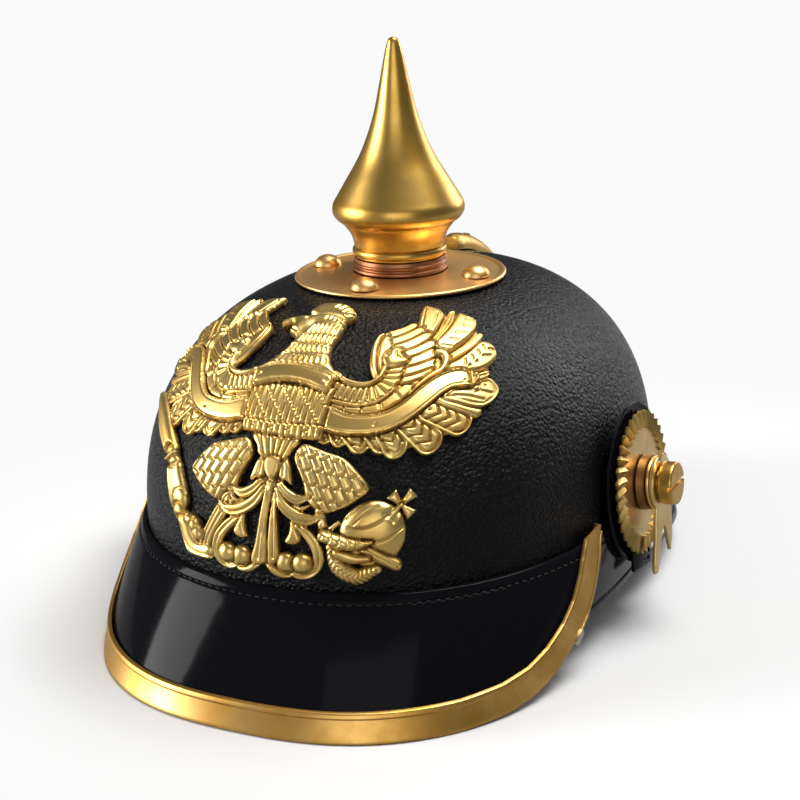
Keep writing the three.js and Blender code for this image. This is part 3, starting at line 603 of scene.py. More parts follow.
def makeLips():
    # bright rolled edge behind each rising end of the strip, with a nickel clip at its foot
    for hand, sign in (("right", 1), ("left", -1)):
        turns = np.linspace(lip["fromTurn"], strip["endTurn"] - 0.3, 50)
        edge, along, inwards = stripFrame(turns)
        away = skullOut(turns)
        line = edge + away * lip["out"] - inwards * lip["below"]
        angles = np.arange(10) * 2 * math.pi / 10
        x, y = np.cos(angles)[None, :, None], np.sin(angles)[None, :, None]
        rings = line[:, None] + lip["radius"] * (x * away[:, None] + y * inwards[:, None])
        dress(loftPiece(f"stripLip_{hand}", rings * (sign, 1, 1)), "pale", "brass")
        seat = int(np.argmin(np.abs(turns - lip["tipTurn"])))
        corners = []
        for step in (-0.5, -0.4, 0.4, 0.5):
            size = 0.7 if abs(step) > 0.45 else 1.0
            middle = line[seat] + along[seat] * step * lip["tipLength"] - inwards[seat] * 0.4
            across = inwards[seat] * lip["tipWidth"] / 2 * size
            outward = away[seat] * lip["tipDepth"] * size
            corners.append([middle + u * across + v * outward
                            for u, v in ((-1, -1), (1, -1), (1, 1), (-1, 1))])
        dress(loftPiece(f"stripClip_{hand}", np.array(corners) * (sign, 1, 1), sharp=30), "silver", "brass")


def stitchTree():
    # thread laid along a line at an even pitch
    tree, given, result = newGroup("stitchRow", "GeometryNodeTree", [
        ("Geometry", "Geometry", None), ("Pitch", "Float", 0.003), ("Length", "Float", 0.0022),
        ("Thickness", "Float", 0.0007), ("Material", "Material", None),
    ], [("Geometry", "Geometry")])
    line = newNode(tree, "GeometryNodeMeshToCurve", {"Mesh": given["Geometry"]}).outputs[0]
    even = newNode(tree, "GeometryNodeResampleCurve", {"Curve": line, "Length": given["Pitch"]},
                   mode="LENGTH").outputs[0]
    tangent = newNode(tree, "GeometryNodeInputTangent").outputs[0]
    turn = newNode(tree, "FunctionNodeAlignRotationToVector", {"Vector": tangent}, axis="X").outputs[0]
    ball = {"Segments": 10, "Rings": 6, "Radius": 0.5}
    bead = newNode(tree, "GeometryNodeMeshUVSphere", ball).outputs["Mesh"]
    sizes = {"X": given["Length"], "Y": given["Thickness"], "Z": given["Thickness"]}
    size = newNode(tree, "ShaderNodeCombineXYZ", sizes).outputs[0]
    return shownCopies(tree, given, result, even, bead, Rotation=turn, Scale=size)


rowTree = stitchTree()
stitch = {"pitch": 3.4, "length": 2.5, "thickness": 0.75, "sink": 0.1}


def makeStitches(name, line):
    mesh = bpy.data.meshes.new(name + "Line")
    mesh.from_pydata((np.asarray(line) * mm).tolist(), [(i, i + 1) for i in range(len(line) - 1)], [])
    sizes = {key.capitalize(): stitch[key] * mm for key in ("pitch", "length", "thickness")}
    piece = grownMesh(name, rowTree, {**sizes, "Material": materials["thread"]},
                      placeObject(name + "Line", mesh))
    piece.data.shade_smooth()
    return dress(piece, "thread", "patent_leather")


def hemLine(turns, turnAt, edgeAt, rear):
    # the sewn groove along the top of a peak
    line = []
    for nominal in turns:
        edge = edgeAt(nominal)
        row = 1 - peak["hemInset"] / peakLength(nominal, edge, rear)
        line.append(peakPoint(turnAt(nominal, row), edge + (1 - edge) * row, -stitch["sink"], rear))
    return line


makeLips()
makeStitches("frontHemThread", hemLine(np.linspace(-67, 67, 160), frontTurnAt, frontRise, False))
makeStitches("rearHemThread", hemLine(np.linspace(69, 291, 200), rearTurnAt, rearRise, True))
print("lips and stitches made")


basePlate = {"underside": 128.7, "segments": 160}
plateOutline = [
    (19, 1.1, 0), (40, 0, 1), (41.7, 0, 0.6), (42.4, 0.75, 0.6), (41.7, 1.75, 0.6), (40.6, 1.6, 0.5),
    (39.6, 1.15, 0.5), (30, 1.7, 0), (19, 2.5, 0),
]
collarOutline = [
    (12, 2.8, 0), (18.7, 2.8, 0.3), (19.0, 3.4, 0.3), (18.8, 4.2, 0.3), (18.1, 4.5, 0.3), (18.1, 5.1, 0.3),
    (18.6, 5.4, 0.3), (18.7, 6.2, 0.3), (18.1, 6.5, 0.3), (18.0, 8.0, 0.2), (12, 8.0, 0),
]
spikeBase = [
    (0, 8.3, 0), (17.4, 8.3, 0.3), (17.4, 9.2, 0.2), (18.6, 9.5, 0.5), (18.9, 10.6, 0.6),
    (18.6, 11.8, 0.5), (17.9, 12.3, 0.3),
]
spikeNeck = [(18.0, 12.9), (18.4, 15.2), (19.6, 18.2), (21.8, 21.2)]
spikeBulb = [
    (22.9, 22.3), (24.6, 23.6), (25.8, 25.3), (26.2, 27.2), (25.7, 29.7), (24.0, 32.6), (19.8, 39.5),
    (14.9, 47.8), (11.0, 56.8), (8.2, 65.6), (5.8, 76.3), (3.7, 86.2), (2.2, 91.6), (1.2, 92.8), (0, 93.1),
]
studs = {"radius": 5.5, "height": 4.2, "circle": 32.5, "count": 4, "seat": 1.85}


def standing(rings, height):
    return rings + np.array([0, axisY, height])


def makeTopFittings():
    under = basePlate["underside"]
    plate = turnedRings(softened(plateOutline, 4), basePlate["segments"])
    dress(loftPiece("basePlate", standing(plate, under), closed=True, sharp=35), "plate", "brass",
          "base_plate")
    collar = turnedRings(softened(collarOutline), 128)
    dress(loftPiece("spikeCollar", standing(collar, under), closed=True, sharp=45), "copper", "copper_brass",
          "spike_collar")
    outline = np.concatenate([softened(spikeBase, 4), smoothLine(spikeNeck, 6), [(22.1, 21.9)],
                              smoothLine(spikeBulb, 6)])
    spike = turnedRings(outline, 160)
    dress(loftPiece("spike", standing(spike, under), closed=True, sharp=35), "spike", "brass", "spike")


def studTree():
    # domed rivets on a circle
    tree, given, result = newGroup("studCircle", "GeometryNodeTree", [
        ("Radius", "Float", 0.005), ("Height", "Float", 0.004), ("Circle", "Float", 0.03),
        ("Count", "Int", 4), ("Centre", "Vector", None), ("Material", "Material", None),
    ], [("Geometry", "Geometry")])
    ball = {"Segments": 40, "Rings": 24, "Radius": 1.0}
    dome = newNode(tree, "GeometryNodeMeshUVSphere", ball).outputs["Mesh"]
    place = newNode(tree, "ShaderNodeSeparateXYZ", {0: newNode(tree, "GeometryNodeInputPosition").outputs[0]})
    flat = newNode(tree, "ShaderNodeCombineXYZ", {
        "X": arith(tree, "MULTIPLY", place.outputs["X"], given["Radius"]),
        "Y": arith(tree, "MULTIPLY", place.outputs["Y"], given["Radius"]),
        "Z": arith(tree, "MULTIPLY", arith(tree, "MAXIMUM", place.outputs["Z"], 0.0), given["Height"])})
    shaped = reshaped(tree, dome, flat)
    ring = {"Vertices": given["Count"], "Radius": given["Circle"]}
    circle = newNode(tree, "GeometryNodeMeshCircle", ring).outputs["Mesh"]
    shift = {"Geometry": circle, "Translation": given["Centre"]}
    moved = newNode(tree, "GeometryNodeTransform", shift).outputs[0]
    return shownCopies(tree, given, result, moved, shaped)


def makeStuds():
    sizes = {key.capitalize(): studs[key] * mm for key in ("radius", "height", "circle")}
    centre = (0, axisY * mm, (basePlate["underside"] + studs["seat"]) * mm)
    piece = grownMesh("plateStuds", studTree(), {
        **sizes, "Count": studs["count"], "Centre": centre, "Material": materials["plate"]})
    welded(piece.data)
    shaded(piece.data, 40)
    return dress(piece, "plate", "pale_brass", "stud_front", "stud_right", "stud_back", "stud_left")


makeTopFittings()
makeStuds()
print("spike and plate made")

spine = {
    "width": 10.0, "height": 6.5, "lift": 0.65, "joint": 0.62, "jointWidth": 0.8, "jointDepth": 0.7,
    "top": 0.955, "bottom": 0.035, "endDrop": 1.2, "endLength": 1.5,
    "screws": (("upper", 0.905), ("lower", 0.09)),
}
screwOutline = [
    (0, -0.4, 0), (1.7, -0.4, 0), (1.7, 0.25, 0.3), (1.2, 0.5, 0.3), (0.35, 0.5, 0), (0.3, 0.2, 0),
    (0, 0.2, 0),
]


def spineFrame(share):
    # foot of the bar on the skull, the direction down along it, and the direction outward
    back, step = 180.0, 0.01
    along = unit(skullPoint(back, share - step) - skullPoint(back, share + step))
    normal = np.stack([0 * along[..., 0], -along[..., 2], along[..., 1]], axis=-1)
    normal *= np.sign(normal[..., 1:2] + normal[..., 2:3])
    return skullPoint(back, share), along, normal


def makeSpine():
    # half-round bar down the back, scored where its two lengths meet
    foot, _, normal = spineFrame(np.linspace(spine["top"], spine["bottom"], 120))
    angles = np.linspace(0, math.pi, 17)
    length = np.concatenate([[0], np.cumsum(np.linalg.norm(np.diff(foot, axis=0), axis=1))])
    rings = []
    for i in range(len(foot)):
        fromJoint = abs(length[i] - length[-1] * (1 - spine["joint"]))
        ends = min(length[i], length[-1] - length[i])
        shrink = spine["jointDepth"] * max(0, 1 - fromJoint / spine["jointWidth"])
        shrink += spine["endDrop"] * max(0, 1 - ends / spine["endLength"]) ** 2
        x = (spine["width"] / 2 - shrink * 0.8) * np.cos(angles)
        rise = (spine["height"] - shrink) * np.sin(angles) + spine["lift"]
        rings.append(foot[i] * (0, 1, 1) + np.stack([x, 0 * x, 0 * x], axis=-1) + rise[:, None] * normal[i])
    return dress(loftPiece("rearSpine", rings, sharp=50), "spike", "brass", "rear_spine")


def makeSpineScrews():
    # small dark screw heads near both ends of the bar
    rings = turnedRings(softened(screwOutline), 32)
    for name, share in spine["screws"]:
        foot, along, normal = spineFrame(share)
        seat = foot + normal * (spine["height"] + spine["lift"])
        placed = rings[..., :1] * (1.0, 0, 0) + rings[..., 1:2] * along + rings[..., 2:] * normal + seat
        dress(loftPiece(f"spineScrew_{name}", placed, closed=True, sharp=35), "bronze", "brass")


makeSpine()
makeSpineScrews()
print("spine made")


# side fittings, drawn with +Z outwards, +Y up and +X to the rear
side = {"reach": 98.7, "depth": -1.6, "height": 53.6, "turn": 2.5, "tilt": 5.5}
bore = 5.6  # hole through every part of the side fittings, round the post
cockade = {"radius": 31.0, "from": -0.8, "sheet": 0.7, "bead": 0.55}
flute = {"overlap": 1.18, "lean": 0.35, "scallop": 2.2, "groove": 0.92}
rosette = {"teeth": 36, "radius": 28.0, "inner": 21.4, "from": 1.9, "edge": 1.7, "crest": 2.3, "floor": 1.1}
boss = {"radius": 10.9, "from": 3.7, "to": 7.0}
washer = {"radius": 10.4, "from": 7.3, "to": 8.75}
post = {"radius": 5.0, "from": -1.8, "neck": 11.6, "head": 8.3, "to": 17.0, "slot": 1.7, "slotDepth": 1.6}
hanger = {
    "from": 9.3, "thickness": 1.5, "ring": 11.3, "bore": 5.7, "bevel": 0.3,
    "notch": 3.0, "notchTurn": 0.22, "neck": (8.4, 8.0),
}
tab = {
    "width": 20.0, "length": 34.0, "lean": 7.5, "from": 0.6, "thickness": 1.0, "seam": 2.2, "seamRise": 14.0,
}


def onSide(points, hand):
    # local points to their place on the right (+X) or mirrored on the left
    turn, tilt = math.radians(side["turn"]), math.radians(side["tilt"])
    level = np.array([math.cos(turn), -math.sin(turn), 0])
    outward = level * math.cos(tilt) + np.array([0, 0, math.sin(tilt)])
    upward = np.array([0, 0, math.cos(tilt)]) - level * math.sin(tilt)
    rearward = np.array([math.sin(turn), math.cos(turn), 0])
    points = np.asarray(points, float)
    placed = points[..., :1] * rearward + points[..., 1:2] * upward + points[..., 2:] * outward
    placed = placed + np.array([side["reach"], side["depth"] + axisY, side["height"]])
    return placed * (-1, 1, 1) if hand == "left" else placed


def offSide(points, hand):
    # how far points stand out along the axis of the side fittings
    origin, tip = onSide([(0, 0, 0), (0, 0, 1)], hand)
    return (points - origin) @ (tip - origin)


def turnedOnSide(name, outline, segments, finish, slot, hand, sharp=40):
    rings = onSide(turnedRings(outline, segments), hand)
    return dress(loftPiece(f"{name}_{hand}", rings, closed=True, sharp=sharp), finish, slot, f"{name}_{hand}")


def flatPiece(name, outline, holes, low, thickness, bevel):
    # plate cut to an outline, with rounded edges, in local coordinates
    curve = bpy.data.curves.new(name, "CURVE")
    curve.dimensions = "2D"
    curve.fill_mode = "BOTH"
    for line in [outline, *holes]:
        spline = curve.splines.new("POLY")
        spline.points.add(len(line) - 1)
        for point, (x, y) in zip(spline.points, line):
            point.co = (x * mm, y * mm, 0, 1)
        spline.use_cyclic_u = True
    curve.extrude = (thickness / 2 - bevel) * mm
    curve.bevel_depth = bevel * mm
    curve.bevel_resolution = 2
    curve.offset = -bevel * mm
    source = placeObject(name, curve)
    mesh = evaluatedMesh(source)
    bpy.data.objects.remove(source)
    return meshPoints(mesh) + (0, 0, low + thickness / 2), meshFaces(mesh)


def circleLine(radius, count):
    angles = np.arange(count) * 2 * math.pi / count
    return np.stack([radius * np.cos(angles), radius * np.sin(angles)], axis=-1)


hangerForks = [
    (8.4, -12), (7.6, -19), (6.6, -24), (3.8, -29), (2.4, -24), (1, -19), (-1.2, -16.6), (-3.8, -18.4),
    (-6.4, -23), (-8.6, -28), (-10.4, -30), (-12, -32.4), (-14.4, -32.2), (-15, -30), (-13.4, -25),
    (-11.4, -20), (-10, -13),
]


def hangerOutline():
    # ring with a notch on top, a long front prong and a short rear one
    radius, (x, y) = hanger["ring"], hanger["neck"]
    top, notch = math.pi / 2, hanger["notchTurn"]
    left = np.linspace(math.atan2(-y, -x) + 2 * math.pi, top + notch, 24)
    right = np.linspace(top - notch, math.atan2(-y, x), 24)
    arcs = [(radius * math.cos(a), radius * math.sin(a)) for a in left] + [(0, radius - hanger["notch"])]
    arcs += [(radius * math.cos(a), radius * math.sin(a)) for a in right]
    return np.array(arcs + hangerForks)


def leaned(points):
    # local points turned by the lean of the tab
    lean = math.radians(-tab["lean"])
    turn = np.array([[math.cos(lean), -math.sin(lean)], [math.sin(lean), math.cos(lean)]])
    return np.asarray(points, float) @ turn.T


def tabOutline():
    half, length = tab["width"] / 2, tab["length"]
    arc = [(half * math.cos(a), half * math.sin(a)) for a in np.linspace(0, math.pi, 24)]
    return leaned(softened([(half, 0, 0), *[(x, y, 0) for x, y in arc[1:]], (-half, -length, 1.5),
                            (half, -length, 1.5)]))


def toothTree():
    # saw-tooth flutes set round a disc
    tree, given, result = newGroup("fluteCircle", "GeometryNodeTree", [
        ("Count", "Int", 36), ("Inner", "Float", 0.02), ("Outer", "Float", 0.028),
        ("Low", "Float", 0.002), ("Edge", "Float", 0.0006), ("Crest", "Float", 0.0023),
        ("Material", "Material", None),
    ], [("Geometry", "Geometry")])
    grid = {"Size": (1.0, 1.0, 1.0), "Vertices X": 5, "Vertices Y": 5, "Vertices Z": 2}
    block = newNode(tree, "GeometryNodeMeshCube", grid).outputs["Mesh"]
    place = newNode(tree, "ShaderNodeSeparateXYZ", {0: newNode(tree, "GeometryNodeInputPosition").outputs[0]})
    along = arith(tree, "ADD", place.outputs["X"], 0.5)  # 0 at the inner end, 1 at the rim
    across = arith(tree, "ADD", place.outputs["Y"], 0.5)
    upper = arith(tree, "ADD", place.outputs["Z"], 0.5)
    centred = arith(tree, "SUBTRACT", arith(tree, "MULTIPLY", across, 2.0), 1.0)
    aside = arith(tree, "ABSOLUTE", centred)  # 0 on the ridge
    scallop = arith(tree, "MULTIPLY", arith(tree, "POWER", aside, 1.5), -flute["scallop"] * mm)
    reach = arith(tree, "ADD", arith(tree, "SUBTRACT", given["Outer"], given["Inner"]), scallop)
    radius = arith(tree, "ADD", given["Inner"], arith(tree, "MULTIPLY", along, reach))
    step = arith(tree, "DIVIDE", 2 * math.pi * flute["overlap"], given["Count"])
    skew = arith(tree, "MULTIPLY", along, arith(tree, "MULTIPLY", step, flute["lean"]))
    spread = arith(tree, "MULTIPLY", arith(tree, "SUBTRACT", across, 0.5), step)
    angle = arith(tree, "ADD", spread, skew)
    fall = arith(tree, "SUBTRACT", given["Crest"], given["Edge"])
    ramp = arith(tree, "SUBTRACT", given["Crest"], arith(tree, "MULTIPLY", fall, along))
    saw = arith(tree, "SUBTRACT", 1.0, arith(tree, "MULTIPLY", aside, flute["groove"]))
    lifted = arith(tree, "MULTIPLY", upper, arith(tree, "MULTIPLY", ramp, saw))
    bent = newNode(tree, "ShaderNodeCombineXYZ", {
        "X": arith(tree, "MULTIPLY", radius, arith(tree, "COSINE", angle)),
        "Y": arith(tree, "MULTIPLY", radius, arith(tree, "SINE", angle)),
        "Z": arith(tree, "ADD", given["Low"], lifted)})
    shaped = reshaped(tree, block, bent)
    points = newNode(tree, "GeometryNodePoints", {"Count": given["Count"]}).outputs[0]
    pitch = arith(tree, "DIVIDE", 2 * math.pi, given["Count"])
    turned = arith(tree, "MULTIPLY", newNode(tree, "GeometryNodeInputIndex").outputs[0], pitch)
    spin = newNode(tree, "ShaderNodeCombineXYZ", {"Z": turned})
    return shownCopies(tree, given, result, points, shaped, Rotation=spin.outputs[0])


fluteTree = toothTree()


def makeRosette(hand):
    inner, low, radius, floor = rosette["inner"], rosette["from"], rosette["radius"], rosette["floor"]
    disc = turnedRings(softened([
        (bore, low, 0), (radius - 2, low, 0.2), (radius - 2, low + 0.3, 0.2), (inner + 1.2, low + 0.5, 0.3),
        (inner + 0.2, low + floor, 0.3), (bore, low + floor + 0.1, 0)]), 144)
    dress(loftPiece(f"rosetteDisc_{hand}", onSide(disc, hand), closed=True), "pale", "pale_brass",
          f"rosette_{hand}")
    flutes = grownMesh(f"flutes_{hand}", fluteTree, {
        "Count": rosette["teeth"], "Inner": (inner - 0.3) * mm, "Outer": radius * mm, "Low": low * mm,
        "Edge": rosette["edge"] * mm, "Crest": (rosette["crest"] + 0.1) * mm, "Material": materials["pale"]})
    points, faces = onSide(meshPoints(flutes.data), hand), meshFaces(flutes.data)
    bpy.data.objects.remove(flutes)
    piece = meshPiece(f"rosetteFlutes_{hand}", points, faces, sharp=30)
    # dirt and painted shade between the flutes, darker the lower they lie over the disc
    heights = offSide(meshPoints(piece.data), hand) - low
    paintDirtAndShade(piece, np.clip(1.05 - (heights - 0.25) / 1.1, 0, 1))
    return dress(piece, "flutes", "pale_brass")


def makePost(hand):
    outline = softened([(0, post["from"], 0), (post["radius"], post["from"], 0.3),
                        (post["radius"], post["neck"], 0.2), (post["head"], post["neck"], 0.5),
                        (post["head"], post["to"] - 0.2, 1.0), (post["head"] - 1.0, post["to"], 0.6),
                        (0, post["to"], 0)], 4)
    piece = loftPiece(f"postStud_{hand}", onSide(turnedRings(outline, 96), hand), closed=True)
    half, slotHalf = post["head"] * 1.5, post["slot"] / 2
    corners = [(x, y, z) for x in (-half, half) for y in (-slotHalf, slotHalf)
               for z in (post["to"] - post["slotDepth"], post["to"] + 3)]
    sides = [(0, 1, 3, 2), (4, 5, 7, 6), (0, 1, 5, 4), (2, 3, 7, 6), (0, 2, 6, 4), (1, 3, 7, 5)]
    cutter = meshPiece("slotCutter", onSide(corners, hand), sides)
    cut = piece.modifiers.new("slot", "BOOLEAN")
    cut.object = cutter
    cut.operation = "DIFFERENCE"
    mesh = evaluatedMesh(piece)
    piece.modifiers.remove(cut)
    piece.data = mesh
    bpy.data.objects.remove(cutter)
    shaded(mesh, 40)
    return dress(piece, "spike", "brass", f"post_stud_{hand}")


def makeSide(hand):
    low, sheet, bead, radius = cockade["from"], cockade["sheet"], cockade["bead"], cockade["radius"]
    outline = softened([
        (bore, low, 0), (radius - 1.2, low, 0.3), (radius, low + 0.5, 0.5),
        (radius, low + sheet + bead * 0.5, 0.5), (radius - 0.9, low + sheet + bead, 0.6),
        (radius - 2.0, low + sheet, 0.4), (bore, low + sheet, 0)], 4)
    turnedOnSide("cockade", outline, 128, "patent", "patent_leather", hand)
    points, faces = flatPiece("tab", tabOutline(), [circleLine(bore, 48)], tab["from"], tab["thickness"], 0.3)
    dress(meshPiece(f"strapTab_{hand}", onSide(points, hand), faces), "patent", "patent_leather",
          f"strap_tab_{hand}")
    half, foot = tab["width"] / 2 - tab["seam"], -tab["length"] + tab["seam"]
    top = foot + tab["seamRise"]
    seam = leaned([(-half, top), (-half, foot), (half, foot), (half, top)])
    seam = np.column_stack([seam, np.full(4, tab["from"] + tab["thickness"])])
    makeStitches(f"tabThread_{hand}", onSide(seam, hand))
    makeRosette(hand)
    low, high, radius = boss["from"], boss["to"], boss["radius"]
    outline = softened([
        (bore, low, 0), (radius, low, 0.2), (radius - 0.1, low + 0.8, 0.4), (radius - 0.5, high - 0.4, 0.3),
        (radius - 0.2, high, 0.3), (bore, high, 0)])
    turnedOnSide("boss", outline, 96, "bronze", "brass", hand)
    low, high, radius = washer["from"], washer["to"], washer["radius"]
    outline = softened([
        (bore, low, 0), (radius - 0.4, low, 0.3), (radius, low + 0.5, 0.4), (radius - 0.1, high, 0.5),
        (bore, high, 0)])
    turnedOnSide("washer", outline, 96, "pale", "pale_brass", hand)
    makePost(hand)
    points, faces = flatPiece("hanger", hangerOutline(), [circleLine(hanger["bore"], 64)], hanger["from"],
                              hanger["thickness"], hanger["bevel"])
    dress(meshPiece(f"hanger_{hand}", onSide(points, hand), faces), "pale", "pale_brass", f"hanger_{hand}",
          body=f"hanger_{hand}")


for hand in ("right", "left"):
    makeSide(hand)
print("side fittings made")


# the stamped eagle: a relief drawn in millimetres across and up the front of the skull
plate = {"cell": 0.33, "halfWidth": 80.0, "bottom": 2.0, "top": 119.0, "lift": 0.4, "edge": 1.0,
         "lineWidth": 0.75, "lineDepth": 0.7, "gapWidth": 0.55, "gapDepth": 0.8, "floor": 0.55,
         "spread": 0.988, "sink": 0.0225, "sinkFrom": 32, "leftSpread": 0.975,
         "lean": [(5, -0.5), (12, 0), (18, 1.6), (27, 2.2), (36, 2.8), (50, 1.2), (60, 0), (80, 1), (97, 3),
                  (115, 7.5)]}
gridX = np.arange(-plate["halfWidth"], plate["halfWidth"], plate["cell"])
gridY = np.arange(plate["bottom"], plate["top"], plate["cell"])
relief = np.zeros((len(gridY), len(gridX)))
border = np.full(relief.shape, 9.0)  # distance to the edge of the plate, negative inside


def nearestOn(line, x, y):
    # distance to a line, share of its length there and side of it
    step = np.diff(line, axis=0)
    size = np.maximum(np.hypot(step[:, 0], step[:, 1]), 1e-6)
    total = np.concatenate([[0], np.cumsum(size)])
    best, share, hand = np.full(x.shape, 1e9), np.zeros(x.shape), np.ones(x.shape)
    for i, (dx, dy) in enumerate(step):
        fromX, fromY = x - line[i, 0], y - line[i, 1]
        t = np.clip((fromX * dx + fromY * dy) / size[i] ** 2, 0, 1)
        away = np.hypot(fromX - t * dx, fromY - t * dy)
        closer = away < best
        best = np.where(closer, away, best)
        share = np.where(closer, (total[i] + t * size[i]) / total[-1], share)
        hand = np.where(closer, np.sign(dx * fromY - dy * fromX), hand)
    return best, share, hand, total[-1]


def within(outline, x, y):
    crossed = np.zeros(x.shape, bool)
    for (x0, y0), (x1, y1) in zip(outline, np.roll(outline, -1, axis=0)):
        if y0 != y1:
            crossed ^= ((y0 > y) != (y1 > y)) & (x < (x1 - x0) * (y - y0) / (y1 - y0) + x0)
    return crossed


def shoulder(depth, radius):
    return np.sqrt(np.clip(1 - (1 - np.clip(depth / radius, 0, 1)) ** 2, 0, 1))


def brickGap(x, y, bricks):
    # distance to the nearest joint of staggered bricks
    turn = math.radians(bricks.get("turn", 0))
    across = ((x - bricks["x"]) * math.cos(turn) + (y - bricks["y"]) * math.sin(turn)) / bricks["width"]
    along = (-(x - bricks["x"]) * math.sin(turn) + (y - bricks["y"]) * math.cos(turn)) / bricks["length"]
    column = np.floor(across)
    along = along + np.mod(column * bricks.get("stagger", 0.5), 1)
    sides = np.minimum(across - column, column + 1 - across) * bricks["width"]
    ends = np.minimum(np.mod(along, 1), 1 - np.mod(along, 1)) * bricks["length"]
    return np.minimum(sides, ends)


def stamp(shape, group, hand):
    # one element of the relief: a vane (path and widths) or a patch (outline), with its rim and cut lines
    def placed(points):
        x, y = np.array(points, float).T
        if not group.get("plain"):
            x = x * plate["spread"] - group.get("shift", 0) - group.get("slant", 0) * y
            y = y - plate["sink"] * (y - plate["sinkFrom"])
        if hand < 0:
            x = -plate["leftSpread"] * x + np.interp(y, *zip(*plate["lean"]))
        return np.stack([x, y], axis=-1)

    drawn = "path" in shape
    line = placed(shape["path"] if drawn else shape["outline"])
    line = smoothLine(line, shape.get("steps", 5), closed=not drawn)
    margin = 2 + (max(shape["width"]) / 2 if drawn else 0)
    low, high = line.min(axis=0) - margin, line.max(axis=0) + margin
    rows, columns = np.searchsorted(gridY, (low[1], high[1])), np.searchsorted(gridX, (low[0], high[0]))
    window = (slice(*rows), slice(*columns))
    x, y = np.meshgrid(gridX[window[1]], gridY[window[0]])
    width, depth = shape.get("lineWidth", plate["lineWidth"]) / 2, shape.get("lineDepth", plate["lineDepth"])
    if drawn:
        away, share, way, length = nearestOn(line, x, y)
        half = np.interp(share, np.linspace(0, 1, len(shape["width"])), shape["width"]) / 2
        outside = away - half
    else:
        away = nearestOn(np.concatenate([line, line[:1]]), x, y)[0]
        outside = np.where(within(line, x, y), -away, away)
    edge = half if shape.get("round") else shape.get("edge", plate["edge"])
    own = shape["base"] + shape["rise"] * shoulder(-outside, edge)
    if "crown" in shape:  # swells towards the middle
        own += shape["crown"] * shoulder(-outside, shape.get("crownWidth", 8))
    cuts = []
    if "ribs" in shape:
        spacing, slope, reach = shape["ribs"]
        offset = np.clip(away / half, 0, 1)
        beat = share * length - slope * offset * half
        gap = np.abs(np.mod(beat + spacing / 2, spacing) - spacing / 2)
        cuts.append(np.where(offset < reach, gap, 9))
    for seam in shape.get("seams", ()):  # lengthwise cuts, as shares of the half width
        cuts.append(np.abs(way * hand * away - seam * half))
    for mark in shape.get("marks", ()):
        cuts.append(nearestOn(smoothLine(placed(mark), 4), x, y)[0])
    for dotX, dotY, radius in shape.get("dots", ()):
        centre = placed([(dotX, dotY)])[0]
        cuts.append(np.maximum(np.hypot(x - centre[0], y - centre[1]) - radius + width, 0))
    if "bricks" in shape:
        gap = brickGap(x * hand, y, shape["bricks"])
        cuts.append(np.where(-outside > shape["bricks"].get("rim", 0), gap, 9))
    if "rim" in shape:  # raised edge, with a cut inside it
        rimWidth, rimRise = shape["rim"]
        own += rimRise * np.exp(-((-outside - rimWidth / 2) / (rimWidth * 0.45)) ** 2)
        cuts.append(np.abs(-outside - rimWidth - width * 0.6))
    for gap in cuts:
        own = own - depth * np.exp(-(gap / width) ** 2)
    free = border[window] > 0
    gutter = plate["gapDepth"] * np.exp(-(np.maximum(outside, 0) / plate["gapWidth"]) ** 2)
    gutter = gutter * shape.get("gap", 1)
    below = np.where(free, own, np.maximum(relief[window] - gutter, plate["floor"]))
    if shape.get("merge"):
        own = np.where(free, own, np.maximum(own, below))
    cover = np.clip(0.5 - outside / plate["cell"], 0, 1)
    relief[window] = np.where(free & (outside > 1.2), relief[window], below * (1 - cover) + own * cover)
    border[window] = np.minimum(border[window], outside)


def vane(path, width, base, rise, **more):
    # an element drawn as a line with a width
    return {"path": path, "width": width, "base": base, "rise": rise, **more}


def rod(path, width, base, rise, **more):
    return vane(path, width, base, rise, round=True, **more)


def patch(outline, base, rise, **more):
    # an element drawn as a closed outline
    return {"outline": outline, "base": base, "rise": rise, **more}


